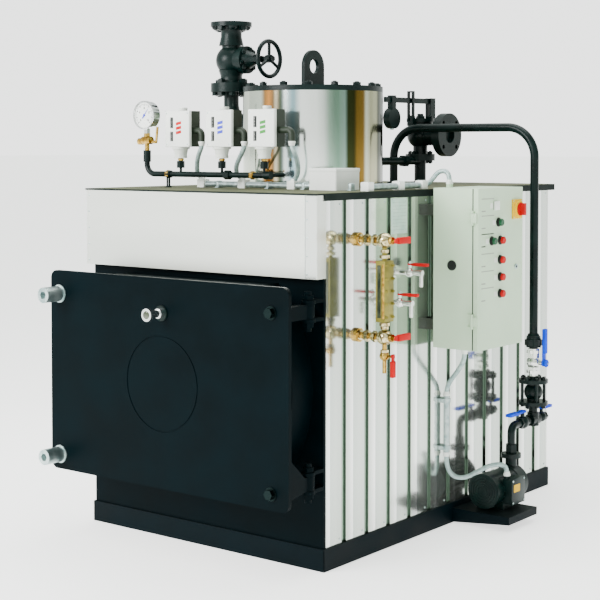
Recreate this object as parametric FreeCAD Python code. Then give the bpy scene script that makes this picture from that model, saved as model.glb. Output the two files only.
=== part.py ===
import FreeCAD, Part
import math
import os
from FreeCAD import Vector as V

os.makedirs("parts", exist_ok=True)

# Packaged fire-tube steam boiler, in millimetres.
# Origin: middle of the underside of the base frame.  +Z up, +Y towards the rear smokebox,
# -Y the furnace door side, +X the side that carries the control cabinet and the feed pump.

# ---------------------------------------------------------------- driving dimensions
body_width = 1070.0            # over the side cladding
body_length = 1540.0           # front plate to rear panel
deck_height = 1250.0           # top face of the deck plate
base_height = 75.0             # base frame under the body
base_proud = 6.0               # base frame stands out past the cladding
base_rail = 60.0               # width of a base frame member
cladding_thickness = 12.0
cladding_top_gap = 22.0        # bare strip between slats and deck
slat_pitch = 131.4
slat_groove = 24.0
slat_groove_depth = 7.0
first_groove = 113.0           # from the front edge of the cladding
front_plate_thickness = 12.0
header_depth = 40.0            # header box in front of the front plate
header_bottom = 970.0
deck_thickness = 6.0
deck_lip = 25.0                # down-turned edge of the deck plate
deck_side_proud = 4.0
deck_rear_overhang = 50.0

door_side_proud = 15.0         # door past the side face of the body
door_bottom = 236.0
door_top = 957.0
door_corner_radius = 28.0
door_plate_thickness = 15.0
door_front_offset = 205.0      # door front face in front of the front plate
door_clearance = 5.0           # running gap between the swinging door and fixed pieces
liner_thickness = 75.0
liner_radius = 470.0
liner_edge_margin = 12.0       # liner ends inside the top and bottom edges of the door
ring_radius = 490.0            # closing ring on the front plate
ring_wall = 30.0
furnace_radius = 240.0
furnace_depth = 700.0
burner_disc_radius = 166.0
burner_groove_width = 6.0
burner_groove_depth = 2.0

hinge_pin_inset = 10.0         # pin axis inside the side face of the body
hinge_pin_forward = 72.0       # pin axis in front of the front plate
hinge_pin_radius = 12.0
hinge_pin_length = 130.0
hinge_barrel_radius = 22.0
hinge_barrel_height = 46.0
hinge_upper_z = 869.0
hinge_lower_z = 308.0
hinge_lug_thickness = 12.0
hinge_side_gap = 1.0           # between barrel and lug
pin_gap = 0.4                  # radial running gap on pins and stems
arm_thickness = 25.0
gusset_top = 410.0
gusset_bottom = 268.0
gusset_neck = 32.0             # straight part that clears the lugs

closing_bolt_z = (290.0, 873.0)
closing_bolt_inset = 45.0      # from the edges of the door
closing_tube_radius = 28.0
closing_tube_length = 80.0
closing_tube_bore = 13.0
plain_bolt_head = 14.0
closing_boss_radius = 15.0
sight_glass_z = 838.0
sight_glass_length = 75.0

dome_radius = 269.0
dome_centre_y = -128.0
dome_top = 1612.0
dome_cover_thickness = 20.0
lug_width = 125.0
lug_height = 143.0
lug_thickness = 15.0
lug_hole_radius = 27.5

steam_pipe_radius = 30.2
steam_pipe_z = 1500.0
steam_bend_radius = 76.0
valve_axis_x = -413.0
valve_inlet_z = 1641.0
valve_face_to_face = 262.0
valve_flange_radius = 82.5
valve_flange_thickness = 18.0
valve_bolt_circle = 62.5
bolt_hole_radius = 9.0
steam_bore_radius = 22.0
valve_neck_radius = 38.0
valve_bulb_radius = 62.0
bonnet_flange_radius = 55.0
bonnet_axis_z = 1750.0
wheel_radius = 78.0
wheel_rim_radius = 8.5
wheel_centre_x = -217.0
wheel_hub_radius = 16.0
stem_radius = 8.0

manifold_y = -535.0
manifold_z = 1300.0
manifold_radius = 10.7
manifold_left_x = -490.0
manifold_right_x = 120.0
manifold_bend_radius = 38.0
gauge_axis_z = 1524.0
gauge_radius = 55.0
gauge_depth = 35.0
gauge_stem_length = 14.0
cock_z = 1428.0
cock_nut_z = 1440.0
cock_tail_z = 1390.0
switch_x = (-302.0, -97.0, 104.0)
switch_width = 122.0
switch_depth = 60.0
switch_bottom = 1403.0
switch_height = 134.0
switch_stem_shift = -13.0      # stem and bellows left of the middle of the case
switch_gland_rise = 60.0       # side gland above the bottom of the case
switch_elbow_reach = (32.0, 34.0, 52.0)     # axis of each elbow from the side of its case
switch_elbow_drop = 40.0
switch_elbow_bend = 18.0

junction_box_size = (121.0, 143.0, 76.0)
junction_box_place = (319.0, -420.0)
small_box_width = 22.0
small_box_height = 32.0
front_box_x = (-260.0, -60.0, 172.0)
deck_line_y = -470.0
side_line_inset = 25.0         # conduit line on the deck from the side face
side_box_y = (-488.0, -297.0, -147.0)
conduit_radius = 11.0
conduit_z = 1264.0
side_tube_stand_off = 20.0     # axis of the upright conduit from the cladding
side_tube_y = -43.0
side_tube_bottom = 278.0
side_tube_top = 487.0
hose_radius = 9.0

# Flexible conduits: each route is the line through its middle, from one fitting to the next.
hose_routes = {
    "switch_hose_left": [(-209, -535, 1423), (-209, -535, 1403), (-225, -530, 1384), (-246, -517, 1360),
                         (-268, -497, 1334), (-281, -481, 1309), (-276, -473, 1292), (-265, -470, 1282)],
    "switch_hose_middle": [(-2, -535, 1423), (-2, -535, 1404), (-16, -530, 1384), (-45, -515, 1359),
                           (-75, -495, 1334), (-88, -480, 1311), (-82, -473, 1294), (-67, -470, 1282)],
    "switch_hose_right": [(217, -535, 1423), (217, -535, 1404), (224, -529, 1382), (223, -513, 1357),
                          (213, -494, 1332), (201, -480, 1310), (189, -473, 1294), (176, -470, 1282)],
    "cabinet_top_hose": [(510, -136, 1264), (510, -114, 1264), (522, -94, 1283), (541, -82, 1314),
                         (573, -79, 1316), (590, -84, 1295), (590, -84, 1268)],
    "cabinet_bottom_hose": [(645, -65, 668), (645, -65, 642), (632, -60, 614), (609, -53, 585),
                            (585, -48, 558), (564, -44, 532), (555, -43, 508), (555, -43, 487)],
    "pump_hose": [(555, -43, 278), (555, -43, 247), (559, -38, 214), (572, -27, 190), (594, -13, 181),
                  (619, 2, 187), (642, 22, 202), (663, 44, 217), (684, 67, 228), (703, 97, 228),
                  (712, 129, 212), (712, 129, 181)],
}

safety_x = 47.0
safety_y = 556.0
safety_riser_radius = 24.2
safety_inlet_z = 1362.0
safety_branch_z = 1345.0
safety_branch_radius = 16.5
safety_union_place = 575.0     # middle of the union from the dome's axis
safety_outlet_z = 1453.0
safety_outlet_reach = 147.0
safety_flange_radius = 90.0
safety_bolt_circle = 70.0
safety_bore_radius = 34.0
safety_lever_z = 1596.0
safety_fulcrum_y = 638.0
safety_lever_front = 292.0
safety_weight_y = 343.0
safety_weight_radius = 42.0

feed_pipe_radius = 16.9
feed_stand_off = 115.0         # feed line from the cladding
feed_y = 442.0
feed_top_z = 1480.0
feed_bend_radius = 118.0
feed_inlet_x = -10.0
feed_union_z = 640.0
feed_valve_z = 562.0
check_valve_z = 446.0
check_flange_gap = 124.0       # length over its end sockets
check_flange_radius = 57.5
check_bolt_circle = 44.0
tee_z = 338.0

tray_top = 54.0
tray_lip = 28.0
tray_reach = 245.0             # out from the side cladding
tray_y0 = 25.0
tray_y1 = 236.0
motor_axis_z = 125.0
motor_radius = 62.0
motor_y0 = 62.0
motor_y1 = 232.0
pump_y = 270.0
pump_flange_z = 218.0
feed_inlet_bore = 13.0

cabinet_depth = 188.0
cabinet_stand_off = 38.0       # back of the cabinet from the cladding
cabinet_y0 = -168.0
cabinet_y1 = 151.0
cabinet_z0 = 682.0
cabinet_z1 = 1256.0
cabinet_door_thickness = 22.0
cabinet_door_gap = 0.3          # door on its seal
cabinet_top_gland = (17.0, 84.0)       # from the cabinet's back and its front side
cabinet_bottom_gland = (72.0, 103.0)
cabinet_top_gland_length = 12.0
cabinet_bottom_gland_length = 14.0
cabinet_hinge_z = (786.0, 1152.0)
cabinet_hinge_out = 6.0        # pin axis outside the cabinet's side
cabinet_pin_radius = 3.0
cabinet_knuckle_radius = 6.0
cabinet_knuckle_length = 34.0
cabinet_hinge_tab = 8.0        # height of a fixed tab over and under the knuckle
isolator_plate_thickness = 3.0
seat_gap = 0.3                 # between a turning piece and the face it turns on

gauge_stand_off = 112.0
level_y = -582.0
level_top_z = 1091.0
level_bottom_z = 767.0
level_body_bottom = 820.0
level_body_top = 1024.0
level_pipe_radius = 8.5

try_places = ((-348.0, 965.0), (-410.0, 865.0))
try_reach = 105.0

smokebox_depth = 170.0
smokebox_half_width = 440.0
smokebox_bottom = 414.0
smokebox_top = 906.0
flue_radius = 125.0
flue_length = 110.0

# ---------------------------------------------------------------- derived places
half_width = body_width / 2.0
door_width = body_width + 2 * door_side_proud
front_y = -body_length / 2.0
rear_y = body_length / 2.0
side_x = half_width
core_half = half_width - cladding_thickness
door_face_y = front_y - door_front_offset
door_back_y = door_face_y + door_plate_thickness
liner_back_y = door_back_y + liner_thickness
ring_face_y = liner_back_y + door_clearance
hinge_x = side_x - hinge_pin_inset
hinge_y = front_y - hinge_pin_forward
door_mid_z = (door_bottom + door_top) / 2.0
cabinet_x0 = side_x + cabinet_stand_off
cabinet_x1 = cabinet_x0 + cabinet_depth
level_x = side_x + gauge_stand_off
feed_x = side_x + feed_stand_off
side_line_x = side_x - side_line_inset
side_tube_x = side_x + side_tube_stand_off
X, Y, Z = V(1, 0, 0), V(0, 1, 0), V(0, 0, 1)


# ---------------------------------------------------------------- helpers
def block(x0, x1, y0, y1, z0, z1):
    """Rectangular block between two corners."""
    return Part.makeBox(x1 - x0, y1 - y0, z1 - z0, V(x0, y0, z0))


def rod(radius, start, axis, length):
    """Cylinder from start along axis."""
    return Part.makeCylinder(radius, length, V(*start), axis)


def hexagon(across_flats, start, axis, length):
    """Hexagonal prism from start along axis."""
    radius = across_flats / math.sqrt(3.0)
    points = [V(radius * math.cos(math.radians(60 * i)), radius * math.sin(math.radians(60 * i)), 0)
              for i in range(7)]
    prism = Part.Face(Part.makePolygon(points)).extrude(V(0, 0, length))
    prism.Placement = FreeCAD.Placement(V(*start), FreeCAD.Rotation(Z, axis))
    return prism


def joined(shapes):
    """One body from touching or overlapping solids."""
    shapes = list(shapes)
    whole = shapes[0].multiFuse(shapes[1:]) if len(shapes) > 1 else shapes[0]
    return whole.removeSplitter()


def bent_tube(points, radius, bend_radii):
    """Round bar along straight runs joined by tangent arcs, swept as one solid."""
    points = [V(*p) for p in points]
    if isinstance(bend_radii, (int, float)):
        bend_radii = [bend_radii] * (len(points) - 2)
    edges = []
    here = points[0]
    for i in range(1, len(points) - 1):
        before = (points[i - 1] - points[i]).normalize()
        after = (points[i + 1] - points[i]).normalize()
        half = before.getAngle(after) / 2.0
        bend = bend_radii[i - 1]
        cut = bend / math.tan(half)
        start = points[i] + before * cut
        end = points[i] + after * cut
        inward = (before + after).normalize()
        centre = points[i] + inward * (bend / math.sin(half))
        middle = centre - inward * bend
        if (start - here).Length > 1e-6:
            edges.append(Part.makeLine(here, start))
        edges.append(Part.Arc(start, middle, end).toShape())
        here = end
    if (points[-1] - here).Length > 1e-6:
        edges.append(Part.makeLine(here, points[-1]))
    wire = Part.Wire(edges)
    direction = (points[1] - points[0]).normalize()
    section = Part.Wire([Part.makeCircle(radius, points[0], direction)])
    return wire.makePipeShell([section], True, True)


def save(name, shape):
    """Write one node."""
    if isinstance(shape, (list, tuple)):
        shape = Part.makeCompound(list(shape))
    shape.exportStep("parts/" + name + ".step")


# ---------------------------------------------------------------- base, body and cladding
def base_frame():
    outer_x = half_width + base_proud
    outer_y = half_length_base()
    rails = [block(-outer_x, -outer_x + base_rail, -outer_y, outer_y, 0, base_height),
             block(outer_x - base_rail, outer_x, -outer_y, outer_y, 0, base_height)]
    inner_x = outer_x - base_rail
    third = (2 * outer_y - base_rail) / 3.0
    crosses = []
    for i in range(4):
        y0 = -outer_y + i * third
        crosses.append(block(-inner_x, inner_x, y0, y0 + base_rail, 0, base_height))
    return joined(rails + crosses)


def half_length_base():
    return body_length / 2.0 + base_proud


def insulated_body():
    core = block(-core_half, core_half, front_y + front_plate_thickness,
                 rear_y - cladding_thickness, base_height, deck_height - deck_thickness)
    furnace = rod(furnace_radius, (0, front_y, door_mid_z), Y, furnace_depth)
    return core.cut(furnace)


def front_plate():
    """Front plate with the threaded posts that the closing bolts draw up to."""
    plate = block(-half_width, half_width, front_y, front_y + front_plate_thickness,
                  base_height, header_bottom)
    plate = plate.cut(rod(furnace_radius, (0, front_y - 1, door_mid_z), Y, 60))
    return joined([plate] + closing_posts())


def header_box():
    return block(-half_width, half_width, front_y - header_depth, front_y + front_plate_thickness,
                 header_bottom, deck_height - deck_thickness)


def deck_plate():
    over = half_width + deck_side_proud
    y0 = front_y - header_depth - deck_side_proud
    y1 = rear_y + deck_rear_overhang
    top = block(-over, over, y0, y1, deck_height - deck_thickness, deck_height)
    lips = [block(sign * half_width if sign > 0 else -over, over if sign > 0 else -half_width,
                  front_y, y1, deck_height - deck_lip, deck_height - deck_thickness)
            for sign in (-1, 1)]
    return joined([top] + lips)


def cladding(sign):
    """Slatted side skin: upright grooves at an even pitch."""
    x0, x1 = (core_half, half_width) if sign > 0 else (-half_width, -core_half)
    y0 = front_y + front_plate_thickness
    skin = block(x0, x1, y0, rear_y - cladding_thickness, base_height, deck_height - deck_lip)
    cuts = []
    count = int((body_length - 2 * first_groove) / slat_pitch + 1.5)
    for i in range(count):
        y = front_y + first_groove + i * slat_pitch
        gx0, gx1 = (x1 - slat_groove_depth, x1 + 1) if sign > 0 else (x0 - 1, x0 + slat_groove_depth)
        cuts.append(block(gx0, gx1, y - slat_groove / 2, y + slat_groove / 2,
                          base_height - 1, deck_height - deck_lip + 1))
    return skin.cut(Part.makeCompound(cuts))


def rear_panel():
    return block(-half_width, half_width, rear_y - cladding_thickness, rear_y,
                 base_height, deck_height - deck_thickness)


def smokebox():
    body = block(-smokebox_half_width, smokebox_half_width, rear_y, rear_y + smokebox_depth,
                 smokebox_bottom, smokebox_top)
    upright = [e for e in body.Edges if abs(e.tangentAt(e.FirstParameter).y) > 0.9]
    return body.makeFillet(60, upright)


def flue_spigot():
    mid_z = (smokebox_bottom + smokebox_top) / 2.0
    start_y = rear_y + smokebox_depth
    pipe = rod(flue_radius, (0, start_y, mid_z), Y, flue_length)
    collar = rod(flue_radius + 35, (0, start_y, mid_z), Y, 8)
    bore = rod(flue_radius - 4, (0, start_y + 8, mid_z), Y, flue_length)
    return joined([pipe, collar]).cut(bore)


# ---------------------------------------------------------------- furnace door
def flattened_disc(radius, y0, y1, inner=0.0):
    """Round block on the furnace axis, flat at top and bottom inside the door's height."""
    disc = rod(radius, (0, y0, door_mid_z), Y, y1 - y0)
    band = block(-radius - 1, radius + 1, y0 - 1, y1 + 1,
                 door_bottom + liner_edge_margin, door_top - liner_edge_margin)
    disc = disc.common(band)
    if inner > 0:
        hole = rod(inner, (0, y0 - 1, door_mid_z), Y, y1 - y0 + 2)
        slot = block(-inner - 1, inner + 1, y0 - 1, y1 + 1,
                     door_bottom + liner_edge_margin + ring_wall, door_top - liner_edge_margin - ring_wall)
        disc = disc.cut(hole.common(slot))
    return disc


def front_ring():
    return flattened_disc(ring_radius, ring_face_y, front_y, ring_radius - ring_wall)


def front_door():
    plate = block(-door_width / 2, door_width / 2, door_face_y, door_back_y, door_bottom, door_top)
    corners = [e for e in plate.Edges if abs(e.tangentAt(e.FirstParameter).y) > 0.9]
    plate = plate.makeFillet(door_corner_radius, corners)
    groove = rod(burner_disc_radius, (0, door_face_y - 1, door_mid_z), Y, burner_groove_depth + 1)
    groove = groove.cut(rod(burner_disc_radius - burner_groove_width,
                            (0, door_face_y - 1, door_mid_z), Y, burner_groove_depth + 1))
    return plate.cut(groove)


def door_liner():
    return flattened_disc(liner_radius, door_back_y, liner_back_y)


def hinge_arm_upper():
    half = hinge_barrel_height / 2.0
    arm = block(hinge_x - arm_thickness / 2, hinge_x + arm_thickness / 2,
                door_back_y, hinge_y, hinge_upper_z - half, hinge_upper_z + half)
    return joined([arm, barrel(hinge_upper_z)]).cut(pin_hole(hinge_upper_z))


def hinge_arm_lower():
    half = hinge_barrel_height / 2.0
    x0 = hinge_x - arm_thickness / 2
    neck_y = hinge_y - gusset_neck
    outline = [V(x0, door_back_y, gusset_bottom), V(x0, neck_y, hinge_lower_z - half),
               V(x0, hinge_y, hinge_lower_z - half), V(x0, hinge_y, hinge_lower_z + half),
               V(x0, neck_y, hinge_lower_z + half), V(x0, door_back_y, gusset_top),
               V(x0, door_back_y, gusset_bottom)]
    plate = Part.Face(Part.makePolygon(outline)).extrude(V(arm_thickness, 0, 0))
    return joined([plate, barrel(hinge_lower_z)]).cut(pin_hole(hinge_lower_z))


def barrel(z):
    return rod(hinge_barrel_radius, (hinge_x, hinge_y, z - hinge_barrel_height / 2), Z,
               hinge_barrel_height)


def pin_hole(z):
    return rod(hinge_pin_radius + pin_gap, (hinge_x, hinge_y, z - hinge_barrel_height), Z,
               2 * hinge_barrel_height)


def hinge_lugs(z):
    """Two horizontal plates on the front plate, above and below the barrel."""
    lugs = []
    for side in (-1, 1):
        edge = z + side * (hinge_barrel_height / 2 + hinge_side_gap)
        z0 = edge if side > 0 else edge - hinge_lug_thickness
        lug = block(hinge_x - 24, hinge_x + hinge_pin_inset, hinge_y, front_y, z0,
                    z0 + hinge_lug_thickness)
        tip = rod(24, (hinge_x, hinge_y, z0), Z, hinge_lug_thickness)
        lug = joined([lug, tip]).cut(rod(hinge_pin_radius, (hinge_x, hinge_y, z0 - 1), Z,
                                         hinge_lug_thickness + 2))
        lugs.append(lug)
    return lugs


def hinge_fixed(z):
    """Lugs with their pin and its nuts."""
    return joined(hinge_lugs(z) + [hinge_pin(z)])


def hinge_pin(z):
    nut_z = hinge_barrel_height / 2 + hinge_side_gap + hinge_lug_thickness
    pin = rod(hinge_pin_radius, (hinge_x, hinge_y, z - hinge_pin_length / 2), Z, hinge_pin_length)
    top = hexagon(34, (hinge_x, hinge_y, z + nut_z), Z, 16)
    bottom = hexagon(34, (hinge_x, hinge_y, z - nut_z - 16), Z, 16)
    return joined([pin, top, bottom])


def closing_bolts():
    """Long tube nuts on the free side, plain bolt heads on the hinge side."""
    bolts = []
    x_free = -door_width / 2 + closing_bolt_inset
    x_hinge = closing_boss_x()
    for z in closing_bolt_z:
        tube = rod(closing_tube_radius, (x_free, door_face_y, z), -Y, closing_tube_length)
        tube = tube.cut(hexagon(2 * closing_tube_bore, (x_free, door_face_y - closing_tube_length - 1, z),
                                Y, 26))
        bolts.append(tube)
        washer = rod(20, (x_hinge, door_face_y, z), -Y, 4)
        head = hexagon(30, (x_hinge, door_face_y - 4, z), -Y, plain_bolt_head)
        bolts.append(joined([washer, head]))
    return bolts


def closing_boss_x():
    return hinge_x - hinge_barrel_radius - 2 * door_clearance - closing_boss_radius


def closing_posts():
    """Round posts on the front plate, one behind each closing bolt."""
    posts = []
    for x in (-half_width + closing_boss_radius + door_clearance, closing_boss_x()):
        for z in closing_bolt_z:
            posts.append(rod(closing_boss_radius, (x, front_y, z), -Y,
                             door_front_offset - door_plate_thickness - door_clearance))
    return posts


def sight_glass():
    start = (0, door_face_y, sight_glass_z)
    boss = rod(17, start, -Y, 20)
    tube = rod(13, start, -Y, sight_glass_length)
    ring = rod(22, (0, door_face_y - sight_glass_length + 12, sight_glass_z), -Y, 12)
    return joined([boss, tube, ring])


# ---------------------------------------------------------------- steam dome and stop valve
def steam_dome():
    return rod(dome_radius, (0, dome_centre_y, deck_height), Z, dome_top - deck_height)


def dome_cover():
    return rod(dome_radius, (0, dome_centre_y, dome_top), Z, dome_cover_thickness)


def lifting_lug():
    z0 = dome_top + dome_cover_thickness
    x0 = -lug_thickness / 2
    radius = lug_width / 2
    plate = block(x0, -x0, dome_centre_y - radius, dome_centre_y + radius, z0, z0 + lug_height - radius)
    crown = rod(radius, (x0, dome_centre_y, z0 + lug_height - radius), X, lug_thickness)
    hole = rod(lug_hole_radius, (x0 - 1, dome_centre_y, z0 + lug_height - radius), X,
               lug_thickness + 2)
    return joined([plate, crown]).cut(hole)


def steam_outlet():
    """Pipe out of the dome's side, elbow up, flange under the stop valve."""
    y = dome_centre_y
    top = valve_inlet_z - valve_flange_thickness
    inside = -math.sqrt(dome_radius ** 2 - steam_pipe_radius ** 2) + 0.0
    pipe = bent_tube([(inside, y, steam_pipe_z), (valve_axis_x, y, steam_pipe_z),
                      (valve_axis_x, y, top)], steam_pipe_radius, steam_bend_radius)
    flange = rod(valve_flange_radius, (valve_axis_x, y, top), Z, valve_flange_thickness)
    pieces = [pipe.cut(steam_dome()), flange]
    pieces += ring_of_nuts((valve_axis_x, y, top), valve_bolt_circle, 4, 28, -14)
    return joined(pieces)


def drilled(body, centre, axis, circle, depth):
    """Four bolt holes through a flange; centre is on its outer face."""
    holes = []
    for i in range(4):
        angle = math.pi / 4 + i * math.pi / 2
        if axis == Z:
            offset = V(circle * math.cos(angle), circle * math.sin(angle), 0)
        else:
            offset = V(0, circle * math.cos(angle), circle * math.sin(angle))
        start = V(*centre) + offset + axis
        holes.append(Part.makeCylinder(bolt_hole_radius, depth + 2, start, -axis))
    return body.cut(Part.makeCompound(holes))


def ring_of_nuts(centre, circle, count, across_flats, height):
    """Hexagons on a horizontal bolt circle; a negative height points down."""
    axis = Z if height > 0 else -Z
    nuts = []
    for i in range(count):
        angle = 2 * math.pi * (i + 0.5) / count
        place = (centre[0] + circle * math.cos(angle), centre[1] + circle * math.sin(angle), centre[2])
        nuts.append(hexagon(across_flats, place, axis, abs(height)))
    return nuts


def stop_valve_body():
    x, y = valve_axis_x, dome_centre_y
    top = valve_inlet_z + valve_face_to_face
    mid = bonnet_axis_z
    pieces = [rod(valve_flange_radius, (x, y, valve_inlet_z), Z, valve_flange_thickness),
              rod(valve_flange_radius, (x, y, top - valve_flange_thickness), Z, valve_flange_thickness),
              rod(valve_neck_radius, (x, y, valve_inlet_z), Z, valve_face_to_face)]
    bulb = Part.makeSphere(valve_bulb_radius, V(x, y, mid))
    neck = rod(46, (x, y, mid), X, 62)
    flange = rod(bonnet_flange_radius, (x + 62, y, mid), X, 12)
    body = joined(pieces + [bulb, neck, flange]).cut(rod(steam_bore_radius, (x, y, top - 40), Z, 60))
    return drilled(body, (x, y, top), Z, valve_bolt_circle, valve_flange_thickness)


def stop_valve_bonnet():
    x, y = valve_axis_x, dome_centre_y
    mid = bonnet_axis_z
    start = x + 74
    pieces = [rod(bonnet_flange_radius, (start, y, mid), X, 12),
              Part.makeCone(40, 20, 40, V(start + 12, y, mid), X),
              rod(14, (start + 52, y, mid), X, 34)]
    for side in (-1, 1):
        pieces.append(block(start + 40, start + 90, y + side * 20 - 4, y + side * 20 + 4, mid - 9, mid + 9))
    pieces.append(block(start + 82, start + 92, y - 24, y + 24, mid - 12, mid + 12))
    for i in range(4):
        angle = math.pi / 4 + i * math.pi / 2
        pieces.append(hexagon(17, (start + 12, y + 43 * math.cos(angle), mid + 43 * math.sin(angle)),
                              X, 9))
    body = joined(pieces)
    return body.cut(rod(stem_radius + pin_gap, (start + 52, y, mid), X, 60))


def handwheel():
    """Three-spoked wheel on its stem."""
    y = dome_centre_y
    mid = bonnet_axis_z
    x = wheel_centre_x
    rim = Part.makeTorus(wheel_radius - wheel_rim_radius, wheel_rim_radius, V(x, y, mid), X)
    hub = rod(wheel_hub_radius, (x - 12, y, mid), X, 24)
    stem_start = valve_axis_x + 74 + 54
    stem = rod(stem_radius, (stem_start, y, mid), X, x - stem_start)
    pieces = [rim, hub, stem, hexagon(20, (x + 12, y, mid), X, 10)]
    for i in range(3):
        angle = math.radians(90 + 120 * i)
        spoke = rod(6.5, (x, y, mid), V(0, math.cos(angle), math.sin(angle)), wheel_radius - wheel_rim_radius)
        pieces.append(spoke)
    return joined(pieces)


# ---------------------------------------------------------------- gauge manifold on the deck
def gauge_manifold():
    y, z = manifold_y, manifold_z
    pipe = bent_tube([(manifold_left_x, y, 1372), (manifold_left_x, y, z), (manifold_right_x, y, z)],
                     manifold_radius, manifold_bend_radius)
    pieces = [pipe, rod(14.5, (manifold_left_x, y, 1346), Z, 44),
              rod(14.5, (manifold_right_x - 26, y, z), X, 30),
              hexagon(30, (-95, y, z), X, 26)]
    for x in switch_x:
        pieces.append(rod(5, (x + switch_stem_shift, y, z), Z, 34))
        pieces.append(hexagon(27, (x + switch_stem_shift, y, z + 24), Z, 26))
    tap = rod(8.5, (manifold_right_x - 60, y, z), Y, dome_centre_y - y)
    pieces.append(tap.cut(steam_dome()))
    bracket_x = -374
    pieces.append(rod(14, (bracket_x - 9, y, z), X, 18))
    pieces.append(rod(4, (bracket_x, y, deck_height), Z, z - deck_height))
    pieces.append(rod(10, (bracket_x, y, deck_height), Z, 5))
    return joined(pieces)


def gauge_cock():
    x, y = manifold_left_x, manifold_y
    top = gauge_axis_z - gauge_radius - gauge_stem_length
    pieces = [rod(9, (x, y, cock_tail_z), Z, top - cock_tail_z),
              rod(15, (x - 22, y, cock_z), X, 44),
              rod(13, (x - 42, y, cock_z - 4), X, 20),
              hexagon(22, (x, y, cock_nut_z), Z, top - cock_nut_z),
              rod(6, (x + 22, y, cock_z - 6), X, 26),
              rod(5, (x + 48, y, cock_z - 8), V(0.12, 0, 1), 60)]
    return joined(pieces)


def pressure_gauge():
    x, y, z = manifold_left_x, manifold_y, gauge_axis_z
    front = y - gauge_depth / 2
    case = rod(gauge_radius - 3, (x, front + 6, z), Y, gauge_depth - 6)
    bezel = rod(gauge_radius, (x, front, z), Y, 12)
    dial_recess = rod(gauge_radius - 5, (x, front - 1, z), Y, 4)
    stem = block(x - 8, x + 8, y - 8, y + 8, z - gauge_radius - gauge_stem_length,
                 z - gauge_radius + 8)
    return joined([case, bezel, stem]).cut(dial_recess)


def pressure_switch(x, elbow_reach):
    """Upright case on a round bellows, with a cable elbow on its right side."""
    y, z0 = manifold_y, switch_bottom
    stem_x = x + switch_stem_shift
    case = block(x - switch_width / 2, x + switch_width / 2, y - switch_depth / 2, y + switch_depth / 2,
                 z0, z0 + switch_height)
    corners = [e for e in case.Edges if abs(e.tangentAt(e.FirstParameter).z) > 0.9]
    case = case.makeFillet(6, corners)
    knob = rod(16, (x, y, z0 + switch_height), Z, 13)
    side, elbow_z = x + switch_width / 2, z0 + switch_gland_rise
    gland = bent_tube([(side, y, elbow_z), (side + elbow_reach, y, elbow_z),
                       (side + elbow_reach, y, elbow_z - switch_elbow_drop)], 12, switch_elbow_bend)
    bellows = [rod(34, (stem_x, y, z0 - 8), Z, 8), Part.makeCone(22, 28, 26, V(stem_x, y, z0 - 34), Z),
               rod(24, (stem_x, y, z0 - 42), Z, 10),
               rod(9, (stem_x, y, manifold_z + 50), Z, z0 - 42 - manifold_z - 50)]
    return joined([case, knob, gland] + bellows)


# ---------------------------------------------------------------- conduits on the deck and the side
def junction_boxes():
    """Large box on the deck and the small white boxes along the conduit runs."""
    width, depth, height = junction_box_size
    x, y = junction_box_place
    box = block(x - width / 2, x + width / 2, y - depth / 2, y + depth / 2, deck_height, deck_height + height)
    edges = [e for e in box.Edges if abs(e.tangentAt(e.FirstParameter).z) > 0.9]
    boxes = [box.makeFillet(6, edges)]
    half = small_box_width / 2
    for bx, by in [(bx, deck_line_y) for bx in front_box_x] + [(side_line_x, by) for by in side_box_y]:
        boxes.append(block(bx - half, bx + half, by - half, by + half, deck_height,
                           deck_height + small_box_height))
    return boxes


def deck_conduits():
    """Straight conduits between the boxes."""
    half = small_box_width / 2
    big_left = junction_box_place[0] - junction_box_size[0] / 2
    runs = []
    stops = list(front_box_x) + [big_left + half]
    for left, right in zip(stops[:-1], stops[1:]):
        runs.append(rod(conduit_radius, (left + half, deck_line_y, conduit_z), X, right - left - 2 * half))
    for near, far in zip(side_box_y[:-1], side_box_y[1:]):
        runs.append(rod(conduit_radius, (side_line_x, near + half, conduit_z), Y, far - near - 2 * half))
    return runs


def side_conduit():
    """Rigid tube down the cladding in two clamps."""
    x, y = side_tube_x, side_tube_y
    pieces = [rod(conduit_radius, (x, y, side_tube_bottom), Z, side_tube_top - side_tube_bottom)]
    for z in (side_tube_bottom + 10, side_tube_top - 24):
        pieces.append(block(side_x, x, y - 22, y + 22, z, z + 14))
        pieces.append(rod(conduit_radius + 4, (x, y, z), Z, 14))
    return joined(pieces)


def hose_radii(points):
    """Largest even bends: 0.45 of the shorter run beside each corner."""
    radii = []
    for before, corner, after in zip(points[:-2], points[1:-1], points[2:]):
        into, out = V(*corner) - V(*before), V(*after) - V(*corner)
        half_turn = into.getAngle(out) / 2.0
        radii.append(0.45 * min(into.Length, out.Length) / math.tan(half_turn))
    return radii


def hose(name):
    """Flexible conduit along its route."""
    points = hose_routes[name]
    radii = hose_radii(points)
    print(name, "bend radii", [round(r) for r in radii])
    return bent_tube(points, hose_radius, radii)


# ---------------------------------------------------------------- safety valve
def safety_riser():
    """Riser off the deck and the branch that joins it to the dome."""
    x, y = safety_x, safety_y
    pipe = rod(safety_riser_radius, (x, y, deck_height), Z, safety_inlet_z - deck_height)
    flange = rod(62, (x, y, safety_inlet_z - 16), Z, 16)
    foot = rod(40, (x, y, deck_height), Z, 8)
    reach = math.hypot(x, y - dome_centre_y)
    outward = V(x / reach, (y - dome_centre_y) / reach, 0)
    start = V(0, dome_centre_y, safety_branch_z)
    branch = rod(safety_branch_radius, start, outward, reach).cut(steam_dome())
    union = hexagon(44, start + outward * (safety_union_place - 14), outward, 28)
    return joined([pipe, flange, foot, branch, union])


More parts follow.
